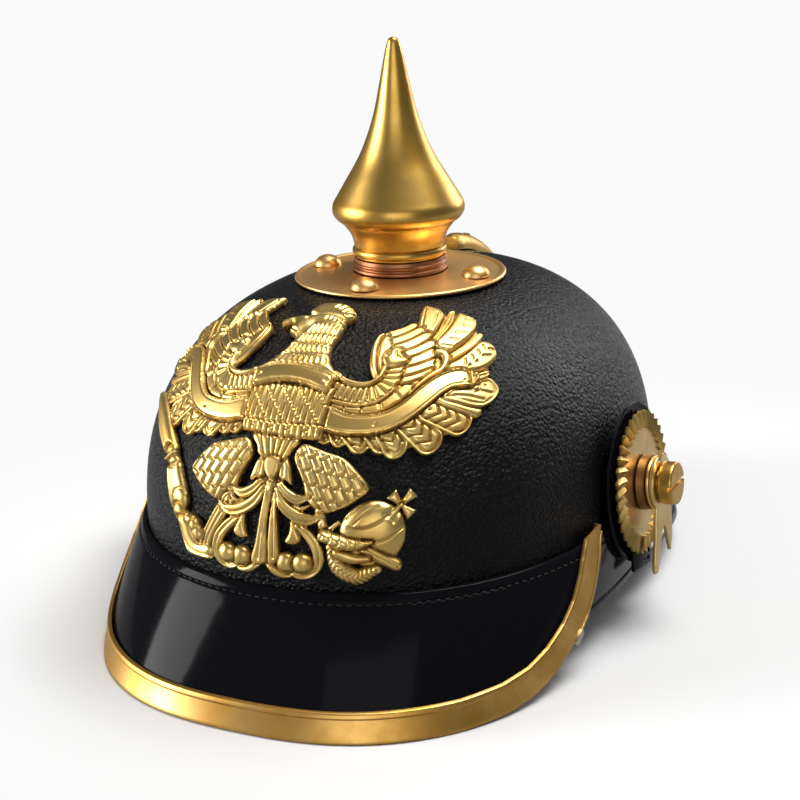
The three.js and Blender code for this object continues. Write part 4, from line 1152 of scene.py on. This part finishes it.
wing = {"shift": 0.49, "slant": -0.0095, "both": True, "shapes": [
    # the sheet behind the feathers
    patch([(13, 56), (16, 54), (22, 53), (27, 52), (31, 51), (38, 50.6), (44, 49.4), (50, 50.8), (57, 50),
        (60, 53.4), (66, 54.6), (70, 57.4), (71.6, 60.6), (75, 62.4), (77.4, 64.6), (78.2, 66.7),
        (76.4, 69.2), (73.5, 72), (72.4, 74.6), (71.5, 75.6), (74.3, 78.5), (75, 81.5), (73, 84.8),
        (70, 87.5), (66.5, 88.9), (64.5, 90.5), (62.8, 93), (61.6, 97), (60, 100.3), (56, 103.4),
        (50.5, 106.2), (48, 107.6), (46, 108.4), (44.6, 107.6), (42.5, 110), (40, 112), (36, 114.2),
        (33.2, 115.3), (33.6, 110), (34.8, 104.8), (32.8, 103), (30, 100.4), (26.5, 98.6), (24, 98.4),
        (23.4, 96), (24.2, 91), (25.8, 85), (28.4, 79.6), (29.8, 77), (27.5, 75.3), (22, 75.8), (17.5, 78.3),
        (13, 79.5), (12, 70)], 0.7, 0.3, steps=2, edge=0.6),
    # flight feathers
    *(vane(path, width, 1.0, 0.9, ribs=(4.4, -1.2, 0.68), rim=(1.0, 0.35), lineWidth=1.0, lineDepth=1.0)
      for path, width in (
        ([(16, 58), (18.6, 54.8)], (5, 5.4)), ([(21, 58), (23.6, 54)], (5.6, 5.8)),
        ([(25.5, 58.5), (31, 52.6)], (7.4, 7.6)), ([(34, 57.5), (38.5, 52.4)], (7, 7.4)),
        ([(37, 60), (43.6, 50.9)], (8.2, 8.4)), ([(45, 60.5), (55.2, 52)], (8.8, 9.4)),
        ([(52.5, 63.5), (65.3, 57.2)], (8.6, 9.2)))),
    rod([(55, 67), (64, 63), (71.6, 59.6)], (2.6, 3, 3.2), 1.2, 0.9),
    patch([(56, 67.6), (60, 70.8), (66, 71), (70, 72), (73.5, 72), (76.5, 69.8), (79, 66.5), (77.8, 63.5),
        (74, 61.6), (69, 62.3), (63, 64.6)], 1.1, 1.1, edge=1.6, lineDepth=0.6, rim=(1.0, 0.4),
        marks=[[(58, 68), (66, 66.4), (73, 63.8)], [(62, 69.6), (69, 68.2), (76, 65.6)],
        [(66, 70.6), (70, 70.4), (72.5, 69)], [(69.3, 70.4), (70.3, 68.4), (68.6, 67.6)]]),
    # outer groups, from the outside in
    rod([(65, 73.6), (72, 74.2)], (3, 2.6), 1.0, 0.9, seams=(-0.2,)),
    patch([(54.5, 81.3), (58, 82.8), (61.5, 85.5), (64.3, 88.6), (67, 88.8), (70, 87.5), (73, 84.8),
        (74.8, 81.5), (74.5, 79), (72, 77), (68, 76), (64, 76.3), (60, 77.2), (56, 77.8), (53.6, 79.2)], 1.1,
        1.1, edge=1.8, crown=0.5, marks=[[(60.5, 82), (61.6, 79.5)], [(62.8, 83.2), (64.2, 81)],
        [(65.2, 84.7), (66.4, 82.7)], [(68, 81.8), (72, 81)], [(70, 84.3), (73, 83.3)],
        [(67, 86.4), (68, 85)]], dots=[(63.3, 78.7, 0.6), (66, 79.8, 0.6)]),
    vane([(53.4, 83.2), (57.5, 85.2), (61.2, 88), (63.8, 90.8)], (2.6, 2.8, 3.6, 4.2), 1.2, 1.2, edge=0.9,
        seams=(0.35,), lineDepth=0.4),
    patch([(50.3, 106.2), (53, 105.2), (56, 103.2), (59, 101.3), (60.6, 99.2), (61.3, 96.5), (60.8, 94),
        (59, 91.3), (56, 88.8), (53.5, 87.2), (51.5, 86.4), (49.3, 87.3), (47, 89.2), (45.3, 91.5),
        (47.5, 95.2), (49, 99), (49.8, 103)], 1.6, 1.2, edge=1.6, crown=0.4, gap=1.4, lineDepth=0.55,
        marks=[[(55, 101.6), (58, 100.6)], [(55, 98.2), (58.3, 97)], [(52.5, 95.3), (55, 94.6), (57.5, 93.8)],
        [(51.5, 92.3), (55, 91)], [(49, 89.7), (53, 88.3)]]),
    vane([(44, 90.6), (45.4, 94.5), (46.8, 99), (47.2, 103), (46.9, 107.2)], (2, 3, 4.2, 4.8, 3), 1.5, 1.0,
        seams=(0.45, -0.3), edge=0.9, lineDepth=0.8, lineWidth=0.65),
    patch([(33.2, 115.2), (36, 114.2), (40, 112), (42.5, 109.5), (44, 106.5), (44.3, 103), (44, 99),
        (43.2, 96), (41.6, 93.3), (38.6, 94.6), (36.2, 98), (35.5, 101), (34.8, 104.5), (33.8, 110)], 1.2,
        1.3, edge=2.0, crown=0.5, lineDepth=0.4, marks=[[(34.8, 111.8), (36.4, 105), (37.6, 99.5)],
        [(40.5, 108.5), (41.6, 103), (41, 97.5)]]),
    # long feathers
    *(vane(path, width, 1.3, 1.0, edge=0.8, gap=1.5)
      for path, width in (
        ([(27, 97.2), (31, 99.4), (33.4, 102.2)], (6.2, 5.6, 4)),
        ([(28.6, 93.4), (33, 95.5), (36.8, 99)], (4.9, 4.9, 4.2)),
        ([(32, 90.2), (36, 92), (40.4, 95.5)], (4.9, 4.9, 4.6)),
        ([(36, 86.6), (40, 88.3), (43.6, 90.8)], (4.9, 5, 5)),
        ([(37.5, 83), (42, 84.5), (46, 86.6)], (4.3, 4.7, 4.8)),
        ([(38, 79), (43, 80.1), (48, 82)], (4.2, 4.3, 4.2)),
        ([(38, 75.4), (43, 76.1), (48.2, 78)], (3.6, 3.8, 3.6)),
        ([(38, 72), (41.5, 71.8), (45.4, 74)], (4.4, 4.4, 3)))),
    rod([(43.6, 70.6), (46.4, 74.4), (49.6, 77.4), (52.3, 79), (53, 82), (52, 85), (50, 86.8), (47.6, 87.6)],
        (1.4, 1.8, 2, 2.4, 2.8, 2.8, 2.4, 1.6), 1.5, 1.1, gap=1.3),
    vane([(49.5, 82.4), (49.6, 82.9)], (2.2, 2.0), 0.4, 0.1, gap=0),
    # the leading edge and the arm
    patch([(25, 97), (25, 92), (26.4, 87), (28.6, 82), (30.5, 79), (31, 83), (31.5, 88), (29, 93),
        (26.4, 98)], 1.2, 0.9),
    rod([(29.9, 77.4), (27.5, 81.2), (25.9, 85), (24.7, 89), (24, 92), (23.6, 96.5), (24.6, 98.4)],
        (1.8, 2.0, 2.2, 2.2, 2, 2, 1.4), 1.2, 1.4),
    vane([(15.5, 66.6), (22, 64.8), (28, 64.4), (34, 65.8), (38.6, 69), (41.4, 72)], (4.6,), 1.3, 0.8,
        ribs=(6.4, 0, 1.0)),
    rod([(15.5, 68.8), (22, 67.2), (28, 66.9), (33, 68.2), (36.3, 71.5), (37.6, 76), (37, 80), (35.8, 82.5)],
        (1.4,), 1.8, 0.9),
    vane([(15, 73), (20, 72), (25, 70.9), (29, 70.7), (32.5, 72.3), (34.5, 75.5), (34.8, 79), (34.6, 82)],
        (6.6,), 1.5, 1.0, ribs=(2.3, 0, 0.9), lineDepth=0.8),
    rod([(13, 79.8), (15, 79.3), (19, 76.3), (24, 74.8), (28, 75), (30.6, 77), (31.2, 80), (31, 83.5)],
        (2.0,), 1.7, 1.4),
    patch([(30, 84), (31.5, 82.4), (34, 81.8), (37.4, 82.8), (38.6, 84.6), (36.8, 86.2), (35, 88), (34.4, 90),
        (32, 90.8), (29.2, 89.6), (28.8, 86.4)], 1.6, 1.5, edge=2.6, gap=1.3, dots=[(30.4, 87.4, 0.9)],
        marks=[[(36.4, 85.6), (33.6, 86.6), (32.8, 89)]], lineDepth=0.8),
    # the ribbon along the wing
    vane([(14, 62), (17.5, 61.3), (23.5, 59.5), (31.5, 59.1), (38.5, 60.3), (44.5, 64), (49.5, 69),
        (53.5, 72.5), (58.5, 74.2), (66, 72.6)], (8.4, 7.9, 7.4, 7.4, 7.4, 7.6, 8.2, 8, 7.0, 4.8), 1.9, 0.9,
        edge=0.5, rim=(0.8, 0.6), lineDepth=0.3, gap=1.5, dots=[(34.5, 59, 0.6), (63, 72.7, 0.55)]),
    rod([(64.6, 75.4), (65.6, 73), (66.6, 70.2)], (1.1,), 2.6, 0.8),
]}

thigh = {"both": True, "shapes": [
    patch([(9.2, 48), (10.5, 50.8), (12.8, 51.8), (17, 50.5), (22, 49), (26, 47.8), (29.5, 45.4), (33, 42),
        (36, 38.8), (37, 36.3), (35, 34.2), (30.5, 31), (26, 29), (21.3, 27.8), (18, 30), (15.3, 33.2),
        (14, 37.5), (11.5, 42), (9.4, 45.5)], 1.1, 1.2, steps=3, edge=1.3, crown=1.4, crownWidth=9,
        lineWidth=0.95, lineDepth=1.0, bricks={"x": 12.0, "y": 51.0, "turn": 30, "width": 3.25, "length": 5.6,
        "stagger": 0.42, "rim": 1.0}),
]}

legs = {"plain": True, "shapes": [
    vane([(-14.6, 29.4), (-18.3, 24), (-22.6, 16.8), (-25.8, 10.6)], (5.2, 4.8, 4.8, 4.8), 1.1, 1.4, edge=1.4,
        seams=(-0.4, 0.3)),
    rod([(20.4, 28.5), (22.6, 21)], (3.4, 3.4), 1.1, 1.3),
    rod([(22.8, 21.7), (26.8, 25)], (1.8, 1.8), 1.1, 1.0),
]}

scrolls = {"both": True, "shapes": [
    patch([(10.2, 26.6), (13, 26.2), (13.5, 21), (14.4, 18.4), (13, 16.8), (10.6, 16.2), (8.3, 17),
        (9.6, 19.8), (10.2, 23)], 0.9, 1.4, steps=3, edge=1.6),
    rod([(8, 30.6), (13, 29), (16.5, 30.4)], (1.6, 2.0, 1), 1.0, 1.0),
    rod([(2.2, 8.2), (4.5, 5.8), (8, 5.0), (11, 5.8)], (2.6, 3.2, 3.2, 2.8), 1.1, 1.4),
    vane([(13.2, 23.5), (17.5, 19.5), (20.3, 14.8), (20.4, 9.5), (17.6, 6.2), (13.5, 5.2), (10.6, 6.4)],
        (2.4, 3.6, 3.9, 3.9, 3.6, 3.2, 2.2), 1.1, 1.2, edge=1.1, seams=(0.1,)),
    vane([(3.8, 35), (7.5, 29.5), (13, 26.2), (18, 25.8), (21.8, 27.8)], (3, 3.8, 4.2, 4.2, 1.2), 1.3, 1.4,
        edge=1.2, seams=(-0.3,)),
    vane([(3.4, 39), (4.6, 38), (8, 34.4), (12, 32.4), (16.6, 33.4)], (2.2, 2.6, 3.4, 3.6, 1.2), 1.4, 1.3,
        edge=1.1, seams=(-0.3,)),
    rod([(8.9, 9.6), (8.9, 9.5)], (7.4,), 1.1, 3.0),
    rod([(15, 9.8), (15, 9.7)], (7.4,), 1.1, 3.2),
]}

tail = {"slant": 0.0155, "shapes": [
    patch([(-8, 54.8), (10.8, 54.8), (8.6, 49), (6.6, 45.7), (6.2, 38.6), (3.6, 37.8), (0.6, 38),
        (-1.8, 38.6), (-3, 45.7), (-5, 49)], 0.9, 0.2, steps=2),
    patch([(3.6, 38.2), (3.3, 30), (2.4, 20), (1.9, 8.4), (6.4, 10.6), (6.0, 20), (5.1, 30)], 1.4, 1.3,
        steps=3, edge=1.5, marks=[[(4, 34), (4.3, 22), (4.3, 11)]]),
    patch([(1, 38.6), (3.6, 38.4), (2.6, 30), (1.5, 20), (1.5, 8.6), (-4.6, 8.4), (-2.6, 16), (-0.9, 26),
        (0.3, 33)], 1.5, 1.5, steps=3, edge=1.5, marks=[[(1.7, 36), (0.6, 24), (-1.5, 10)], [(2.2, 34),
        (1.2, 22), (0.4, 10)]], lineDepth=0.5),
    *(patch([(2.2 + way * x, y)
        for x, y in ((2.6, 45.9), (5.3, 45.9), (7.3, 41.5), (8.1, 37.0), (5.8, 38.4), (2.8, 39.4))], 1.3, 1.3,
        steps=2, edge=1.2, marks=[[(2.2 + way * 4.1, 45), (2.2 + way * 4.6, 40)]]) for way in (1, -1)),
    patch([(-7.5, 54.2), (10.5, 54.2), (8.5, 49), (6.5, 45.5), (-3, 45.5), (-5, 49)], 1.4, 1.4, steps=2,
        edge=1.2, marks=[[(-4.6, 54), (-1.4, 46)], [(-1.2, 54), (0.6, 46)], [(1.8, 54), (2, 46)],
        [(4.8, 54), (3.4, 46)], [(8, 54), (5.2, 46)]], lineDepth=0.9),
    patch([(-0.4, 46), (4.8, 46), (5, 41), (2.3, 38.2), (-0.4, 41)], 1.9, 1.4, steps=2, edge=1.2),
]}

neck = {"shift": -0.5, "shapes": [
    patch([(-15.5, 76), (-13, 81.5), (-9.8, 86), (-8.2, 90), (-7, 94.5), (-6.2, 98), (-6.4, 103), (-4, 109),
        (5, 109), (8.2, 104), (8.6, 97), (8.4, 92), (9.2, 87.5), (10.8, 84), (13.6, 80.5), (16, 76)], 1.2,
        1.2, steps=2, edge=1.5, crown=1.4, crownWidth=7, lineDepth=0.75, marks=[
        [(-9.4, 85.3), (-1, 86.8), (9.6, 86.9)], [(-7, 90.1), (0, 91.6), (8.2, 91.4)],
        [(-4, 95.8), (1, 96.4), (7.6, 96.2)],
        *([(-9 + 2.3 * i, 82.0 + 0.1 * i), (-7.6 + 2.05 * i, 84.8)] for i in range(9)),
        *([(-6.8 + 2.05 * i, 86.9 + 0.2 * min(i, 4)), (-5.6 + 1.8 * i, 90.0)] for i in range(8)),
        *([(-4.4 + 1.9 * i, 92.2), (-3.6 + 1.75 * i, 95.2)] for i in range(7)),
        *([(-2.6 + 1.9 * i, 97.0), (-1.8 + 1.7 * i, 101.4)] for i in range(6))]),
    patch([(-6.9, 107.3), (-10.5, 106), (-14.2, 104), (-16.7, 101.6), (-16.4, 99.6), (-14.9, 101.2),
        (-12.6, 102.3), (-11.5, 100.8), (-11.8, 98.4), (-11.2, 97), (-9, 96), (-6.8, 94.6), (-5.5, 97.4),
        (-3.4, 100), (-2, 102.4), (2, 103.6), (8, 102.5), (8.6, 103.4), (7.6, 106.5), (5, 107.9), (0, 108.8),
        (-4, 108.4)], 1.4, 1.2, steps=3, edge=1.8, crown=1.8, crownWidth=6, merge=True, gap=0.3,
        marks=[[(-11.6, 98.6), (-7.4, 97)], [(-8.2, 105.4), (-6.6, 105.9), (-5.2, 105.2)],
        *([(0.6 + 1.9 * i, 103.9), (1.2 + 1.7 * i, 106.2)] for i in range(4))], dots=[(-6.4, 104.3, 1.0)]),
    patch([(-8, 108.8), (-7.3, 112), (-5.6, 114.8), (-2, 116.3), (2, 116.4), (5.2, 115.4), (8, 113),
        (10.2, 110), (9.8, 107.4), (7.8, 105.2), (5.6, 106.6), (3.5, 107.6), (-1, 108), (-5, 107.4)], 1.7,
        1.4, edge=2.2, crown=1.2, crownWidth=5, merge=True, gap=0.7, marks=[[(3.2, 116.2), (1.8, 112)],
        [(6.2, 115), (4, 111.2)], [(8.8, 112.6), (6, 109.6)], [(10.2, 109), (7.2, 107.8)]]),
]}

chest = {"shapes": [
    patch([(-14.5, 73), (17, 73), (17.2, 60), (17.5, 53.5), (10, 53.2), (0, 53.6), (-13, 54), (-14.5, 60)],
        1.7, 1.0, steps=1, edge=1.4, crown=1.0, crownWidth=9, lineDepth=0.85, bricks={"x": 1.3, "y": 58.2,
        "width": 2.2, "length": 7.4, "stagger": 0.34}, marks=[[(-14.5, 58.6), (1, 58.2), (17.5, 58.6)]]),
    patch([(-13.8, 70.3), (-7.5, 72.8), (-0.2, 73.9), (7, 73), (14.7, 70.4), (15.6, 74), (15.4, 77.8),
        (8, 80.4), (0.5, 81.4), (-7, 80.8), (-14.8, 77.9), (-15, 74)], 2.5, 1.0, steps=2, edge=0.6, crown=0.6,
        crownWidth=4, rim=(0.8, 0.35), lineDepth=0.4, dots=[(-12.4, 75, 0.65), (13.4, 75, 0.65)]),
]}

orb = {"shapes": [
    rod([(39.3, 21.2), (39.3, 21.1)], (22.6,), 1.2, 4.0, marks=[[(30.5, 27), (34.5, 31), (36.8, 32.4)],
        [(32.6, 24.8), (37, 29), (40.5, 31)], [(31, 23.8), (38, 24.4), (46, 28.6)], [(36, 20.4), (42, 19.4),
        (49.5, 23.2)]]),
    *(patch([(48.5 + 0.9 * (x - y) * 0.7, 31 + 0.9 * (x + y) * 0.7), (48.5 + 5.6 * x + 2.2 * -y,
        31 + 5.6 * y + 2.2 * x), (48.5 + 5.6 * x - 2.2 * -y, 31 + 5.6 * y - 2.2 * x),
        (48.5 + 0.9 * (x + y) * 0.7, 31 + 0.9 * (y - x) * 0.7), (48.5 - x, 31 - y)], 1.4, 1.2, steps=1,
        edge=1.4, merge=True) for x, y in ((0.7, 0.7), (-0.7, 0.7), (0.7, -0.7), (-0.7, -0.7))),
    rod([(36.6, 16.6), (41, 13.8), (47.4, 10)], (3.8, 4.6, 4.4), 1.8, 2.6, seams=(0.3,), lineDepth=0.5),
    rod([(25.8, 17), (28, 9.4), (34, 6), (41, 8.8)], (4.8, 6.4, 6.2, 3.6), 1.5, 2.2, ribs=(1.7, 0.6, 1.0),
        lineDepth=0.6),
    rod([(27.6, 14.8), (33, 12.8), (38, 13)], (4, 4.2, 2.6), 1.6, 2.4),
    rod([(22.6, 20.6), (29, 18.4), (35, 18.2), (39, 19)], (4, 5, 4.6, 1.8), 2.2, 3.2, ribs=(3.0, -0.5, 1.0),
        lineDepth=0.6),
]}

sceptre = {"plain": True, "shapes": [
    rod([(-70.5, 52), (-64, 48.8), (-58.5, 45.2), (-52.5, 41.4), (-48.4, 38.9)], (4.4, 7, 9, 8.8, 7.2), 1.1,
        2.6, seams=(-0.2,), lineDepth=0.4),
    rod([(-48.2, 38), (-45, 34)], (6.4, 6.6), 1.0, 2.0),
    rod([(-49.6, 35.4), (-45.4, 38.8)], (1.5,), 1.8, 1.6),
    patch([(-49.2, 33.2), (-45.6, 34.6), (-41.9, 36.2), (-39.6, 32.6), (-36.4, 27.6), (-35.2, 24.6),
        (-36, 21.6), (-38.4, 19.4), (-41.4, 18.6), (-44.6, 20.6), (-46.8, 25), (-48.4, 29)], 1.2, 2.2,
        steps=3, edge=5, lineDepth=0.6, marks=[[(-47, 33.4), (-45.4, 27), (-43.6, 21)], [(-44.6, 33.8),
        (-43, 28), (-41.2, 25.6)], [(-41, 26.8), (-38.6, 28), (-36.4, 27)], [(-41.6, 26.6), (-41.6, 22),
        (-39.4, 20)]]),
    rod([(-39, 20), (-36.4, 16.4)], (6, 6.6), 1.4, 2.2),
    patch([(-39.6, 17.8), (-36.6, 19), (-33.6, 18.6), (-32, 15.6), (-30.4, 12.4), (-28, 10.6), (-24.6, 11.4),
        (-21.6, 10.6), (-21.2, 8), (-22.4, 5.8), (-28, 5.2), (-33, 5.4), (-35.6, 8.2), (-37.6, 12.6)], 1.2,
        2.0, steps=3, edge=3, marks=[[(-36.8, 14.6), (-34.8, 10), (-32, 8), (-27, 7.6), (-22, 7.4)]],
        lineDepth=1.0),
    rod([(-33.2, 18.8), (-30.6, 18), (-27.4, 14.2)], (3.6, 4.6, 4.4), 1.8, 2.4, ribs=(2.8, 0, 0.8)),
]}

for group in (wing, thigh, legs, scrolls, tail, neck, chest, orb, sceptre):
    for shape in group["shapes"]:
        for hand in (1, -1) if group.get("both") else (1,):
            stamp(shape, group, hand)
print("relief drawn")


def softer(field, size):
    # gaussian blur, size in millimetres
    reach = int(3 * size / plate["cell"]) + 1
    weights = np.exp(-(np.arange(-reach, reach + 1) * plate["cell"] / size) ** 2 / 2)
    weights /= weights.sum()
    for axis in (0, 1):
        padded = np.pad(field, [(reach, reach) if axis == side else (0, 0) for side in (0, 1)], "edge")
        parts = [np.take(padded, np.arange(i, i + field.shape[axis]), axis=axis) * weight
                 for i, weight in enumerate(weights)]
        field = sum(parts)
    return field


def onSkull(across, up, lift):
    # place on the front of the skull: across measured round it, up measured along its middle
    shares = np.linspace(0, 1, 401)
    rise = np.linalg.norm(np.diff(skullPoint(0.0, shares), axis=0), axis=1)
    turns = np.linspace(0, 180, 401)
    run = np.linalg.norm(np.diff(skullPoint(turns, 0.0), axis=0), axis=1)
    share = np.interp(up, np.concatenate([[0], np.cumsum(rise)]), shares)
    radius = (1 - share ** skull["heightPower"]) ** (1 / skull["radiusPower"])
    turn = np.sign(across) * np.interp(np.abs(across) / radius, np.concatenate([[0], np.cumsum(run)]), turns)
    sideways = skullPoint(turn + 1, share) - skullPoint(turn - 1, share)
    upward = skullPoint(turn, share + 0.01) - skullPoint(turn, share - 0.01)
    return skullPoint(turn, share) + unit(np.cross(sideways, upward)) * lift[:, None]


def boundaryLoop(used):
    # directed edges round the used cells, as pairs of grid corners
    rows, columns = used.shape
    padded = np.pad(used, 1)
    corner = np.arange((rows + 1) * (columns + 1)).reshape(rows + 1, columns + 1)
    edges = []
    for shift, first, second in (((-1, 0), (0, 0), (0, 1)), ((0, 1), (0, 1), (1, 1)),
                                 ((1, 0), (1, 1), (1, 0)), ((0, -1), (1, 0), (0, 0))):
        bare = used & ~padded[1 + shift[0]:1 + shift[0] + rows, 1 + shift[1]:1 + shift[1] + columns]
        r, c = np.nonzero(bare)
        edges.append(np.stack([corner[r + first[0], c + first[1]], corner[r + second[0], c + second[1]]],
                              axis=-1))
    return np.concatenate(edges)


def makeEagle():
    held = border < 0
    used = held[:-1, :-1] | held[1:, :-1] | held[:-1, 1:] | held[1:, 1:]
    height = np.where(border < plate["cell"], relief, 0)
    # dirt and painted shade: darker where the relief lies below its blurred surroundings, in grooves and
    # hollows
    low = 0.75 * np.clip((softer(height, 0.7) - height) * 1.7, 0, 1)
    low = low + 0.5 * np.clip((softer(height, 2.2) - height) * 0.5, 0, 1)
    low = np.clip(softer(low, 0.25) - 0.06, 0, 1)
    slopeY, slopeX = np.gradient(border, plate["cell"])
    steep = np.maximum(np.hypot(slopeX, slopeY), 0.5)
    x, y = np.meshgrid(gridX, gridY)
    beyond = np.clip(border, 0, plate["cell"] * 1.2)
    x, y = (x - slopeX / steep * beyond).ravel(), (y - slopeY / steep * beyond).ravel()
    columns = relief.shape[1]
    r, c = np.nonzero(used)
    first = r * columns + c
    quads = np.stack([first, first + 1, first + columns + 1, first + columns], axis=-1)
    loop = boundaryLoop(used)
    front = np.unique(quads)
    back = np.unique(loop)
    # the back is flat sheet: triangles between the boundary and a few points inside
    deep = (border < -1.5) & (np.arange(len(gridY))[:, None] % 16 == 0) & (np.arange(columns) % 16 == 0)
    inner = np.flatnonzero(deep)
    sources = np.concatenate([back, inner])
    place = {source: i for i, source in enumerate(sources)}
    flat = [Vector((source % columns, source // columns)) for source in sources]
    triangles = delaunay_2d_cdt(flat, [(place[a], place[b]) for a, b in loop.tolist()], [], 0, 1e-4)
    spots, faces, origin = triangles[0], triangles[2], triangles[3]
    behind = []
    for face in faces:
        middle = sum((spots[i] for i in face), Vector((0, 0))) / len(face)
        if used[min(int(middle.y), used.shape[0] - 1), min(int(middle.x), used.shape[1] - 1)]:
            behind.append([origin[i][0] for i in face])
    frontIndex = np.full(relief.size, -1)
    frontIndex[front] = np.arange(len(front))
    points = onSkull(np.concatenate([x[front], x[sources]]), np.concatenate([y[front], y[sources]]),
                     np.concatenate([plate["lift"] + relief.ravel()[front],
                                     np.full(len(sources), plate["lift"])]))
    backIndex = {source: len(front) + i for i, source in enumerate(sources)}
    allFaces = frontIndex[quads].tolist()
    allFaces += [(frontIndex[b], frontIndex[a], backIndex[a], backIndex[b]) for a, b in loop.tolist()]
    allFaces += [tuple(len(front) + i for i in reversed(face)) for face in behind]
    piece = meshPiece("eagle", points, allFaces, recalculate=False)
    piece.data.set_sharp_from_angle(angle=math.radians(82))
    # the back of the sheet, and the side walls towards it, get strong painted shade
    paintDirtAndShade(piece, np.concatenate([low.ravel()[front], np.full(len(sources), 0.8)]))
    return dress(piece, "eagle", "pale_brass", "eagle_plate")


makeEagle()
print("eagle made")


studio = {
    "target": (-4.92, 6.05 + axisY, 73.63), "azimuth": 25.3, "elevation": 17.54, "roll": -1.87,
    "distance": 671.59, "lens": 72.92, "sensor": 36.0,
    "floorTone": (0.64, 0.64, 0.64), "bounceTone": (0.24, 0.24, 0.24), "skyTone": (0.955, 0.955, 0.955),
    "reflected": 0.12, "clearMiddle": (0.03, 0.0, 0.0), "clearFrom": 0.16, "clearTo": 0.34,
    "floorReach": 4000.0, "floorDrop": 0.3, "lightsAim": (0, 0, 0.08),
}
lights = (  # name, place and size in metres, watts
    ("keyLeft", (-1.35, -0.75, 0.5), (0.7, 0.8), 28),
    ("topSoft", (0.4, 0.35, 1.5), (0.9, 0.9), 32),
    ("fillRight", (0.5, 1.4, 0.5), (0.7, 0.6), 6),
    ("frontFill", (0.7, -1.65, 0.65), (1.4, 1.1), 8),
)


def makeCamera():
    azimuth, elevation, roll = (math.radians(studio[key]) for key in ("azimuth", "elevation", "roll"))
    back = Vector((math.sin(azimuth) * math.cos(elevation), -math.cos(azimuth) * math.cos(elevation),
                   math.sin(elevation)))
    right = Vector((math.cos(azimuth), math.sin(azimuth), 0))
    upward = back.cross(right)
    tilted = math.cos(roll) * right + math.sin(roll) * upward
    turned = -math.sin(roll) * right + math.cos(roll) * upward
    data = bpy.data.cameras.new("camera")
    data.lens, data.sensor_width = studio["lens"], studio["sensor"]
    camera = placeObject("camera", data)
    spot = (Vector(studio["target"]) + back * studio["distance"]) * mm
    camera.matrix_world = Matrix.Translation(spot) @ Matrix((tilted, turned, back)).transposed().to_4x4()
    bpy.context.scene.camera = camera


def addLight(name, place, aim, size, power):
    data = bpy.data.lights.new(name, "AREA")
    data.shape = "RECTANGLE"
    data.size, data.size_y = size
    data.energy = power
    lamp = placeObject(name, data)
    lamp.location = place
    lamp.rotation_euler = (Vector(place) - Vector(aim)).to_track_quat("Z", "Y").to_euler()


def makeStudio():
    reach, drop = studio["floorReach"], studio["floorDrop"]
    corners = [(x * reach, y * reach, -drop) for x, y in ((-1, -1), (1, -1), (1, 1), (-1, 1))]
    floor = meshPiece("floor", corners, [(0, 1, 2, 3)], recalculate=False)
    material, tree, shader = newMaterial("paleFloor")
    shader.inputs["Roughness"].default_value = 0.6
    seen = newNode(tree, "ShaderNodeLightPath").outputs["Is Camera Ray"]
    tone = mixColour(tree, seen, (*studio["bounceTone"], 1), (*studio["floorTone"], 1))
    tree.links.new(tone, shader.inputs["Base Color"])
    place = newNode(tree, "ShaderNodeTexCoord").outputs["Object"]
    away = newNode(tree, "ShaderNodeVectorMath", {0: place, 1: studio["clearMiddle"]}, operation="DISTANCE")
    spread = away.outputs["Value"]
    clear = ranged(tree, spread, studio["clearFrom"], studio["clearTo"], interpolation_type="SMOOTHSTEP")
    white = newNode(tree, "ShaderNodeEmission", {"Color": (*studio["skyTone"], 1)})
    share = arith(tree, "MULTIPLY", clear, seen)
    both = newNode(tree, "ShaderNodeMixShader", {0: share, 1: shader.outputs[0], 2: white.outputs[0]})
    tree.links.new(both.outputs[0], tree.nodes["Material Output"].inputs["Surface"])
    floor.data.materials.append(material)
    world = bpy.data.worlds.new("sky")
    world.use_nodes = True
    tree = world.node_tree
    sky = tree.nodes["Background"]
    seen = newNode(tree, "ShaderNodeLightPath").outputs["Is Camera Ray"]
    level = ranged(tree, seen, 0.0, 1.0, studio["reflected"])
    sky.inputs["Color"].default_value = (*studio["skyTone"], 1)
    tree.links.new(level, sky.inputs["Strength"])
    bpy.context.scene.world = world
    for name, place, size, power in lights:
        addLight(name, place, studio["lightsAim"], size, power)
    bpy.context.scene.view_settings.view_transform = "Standard"


makeCamera()
makeStudio()
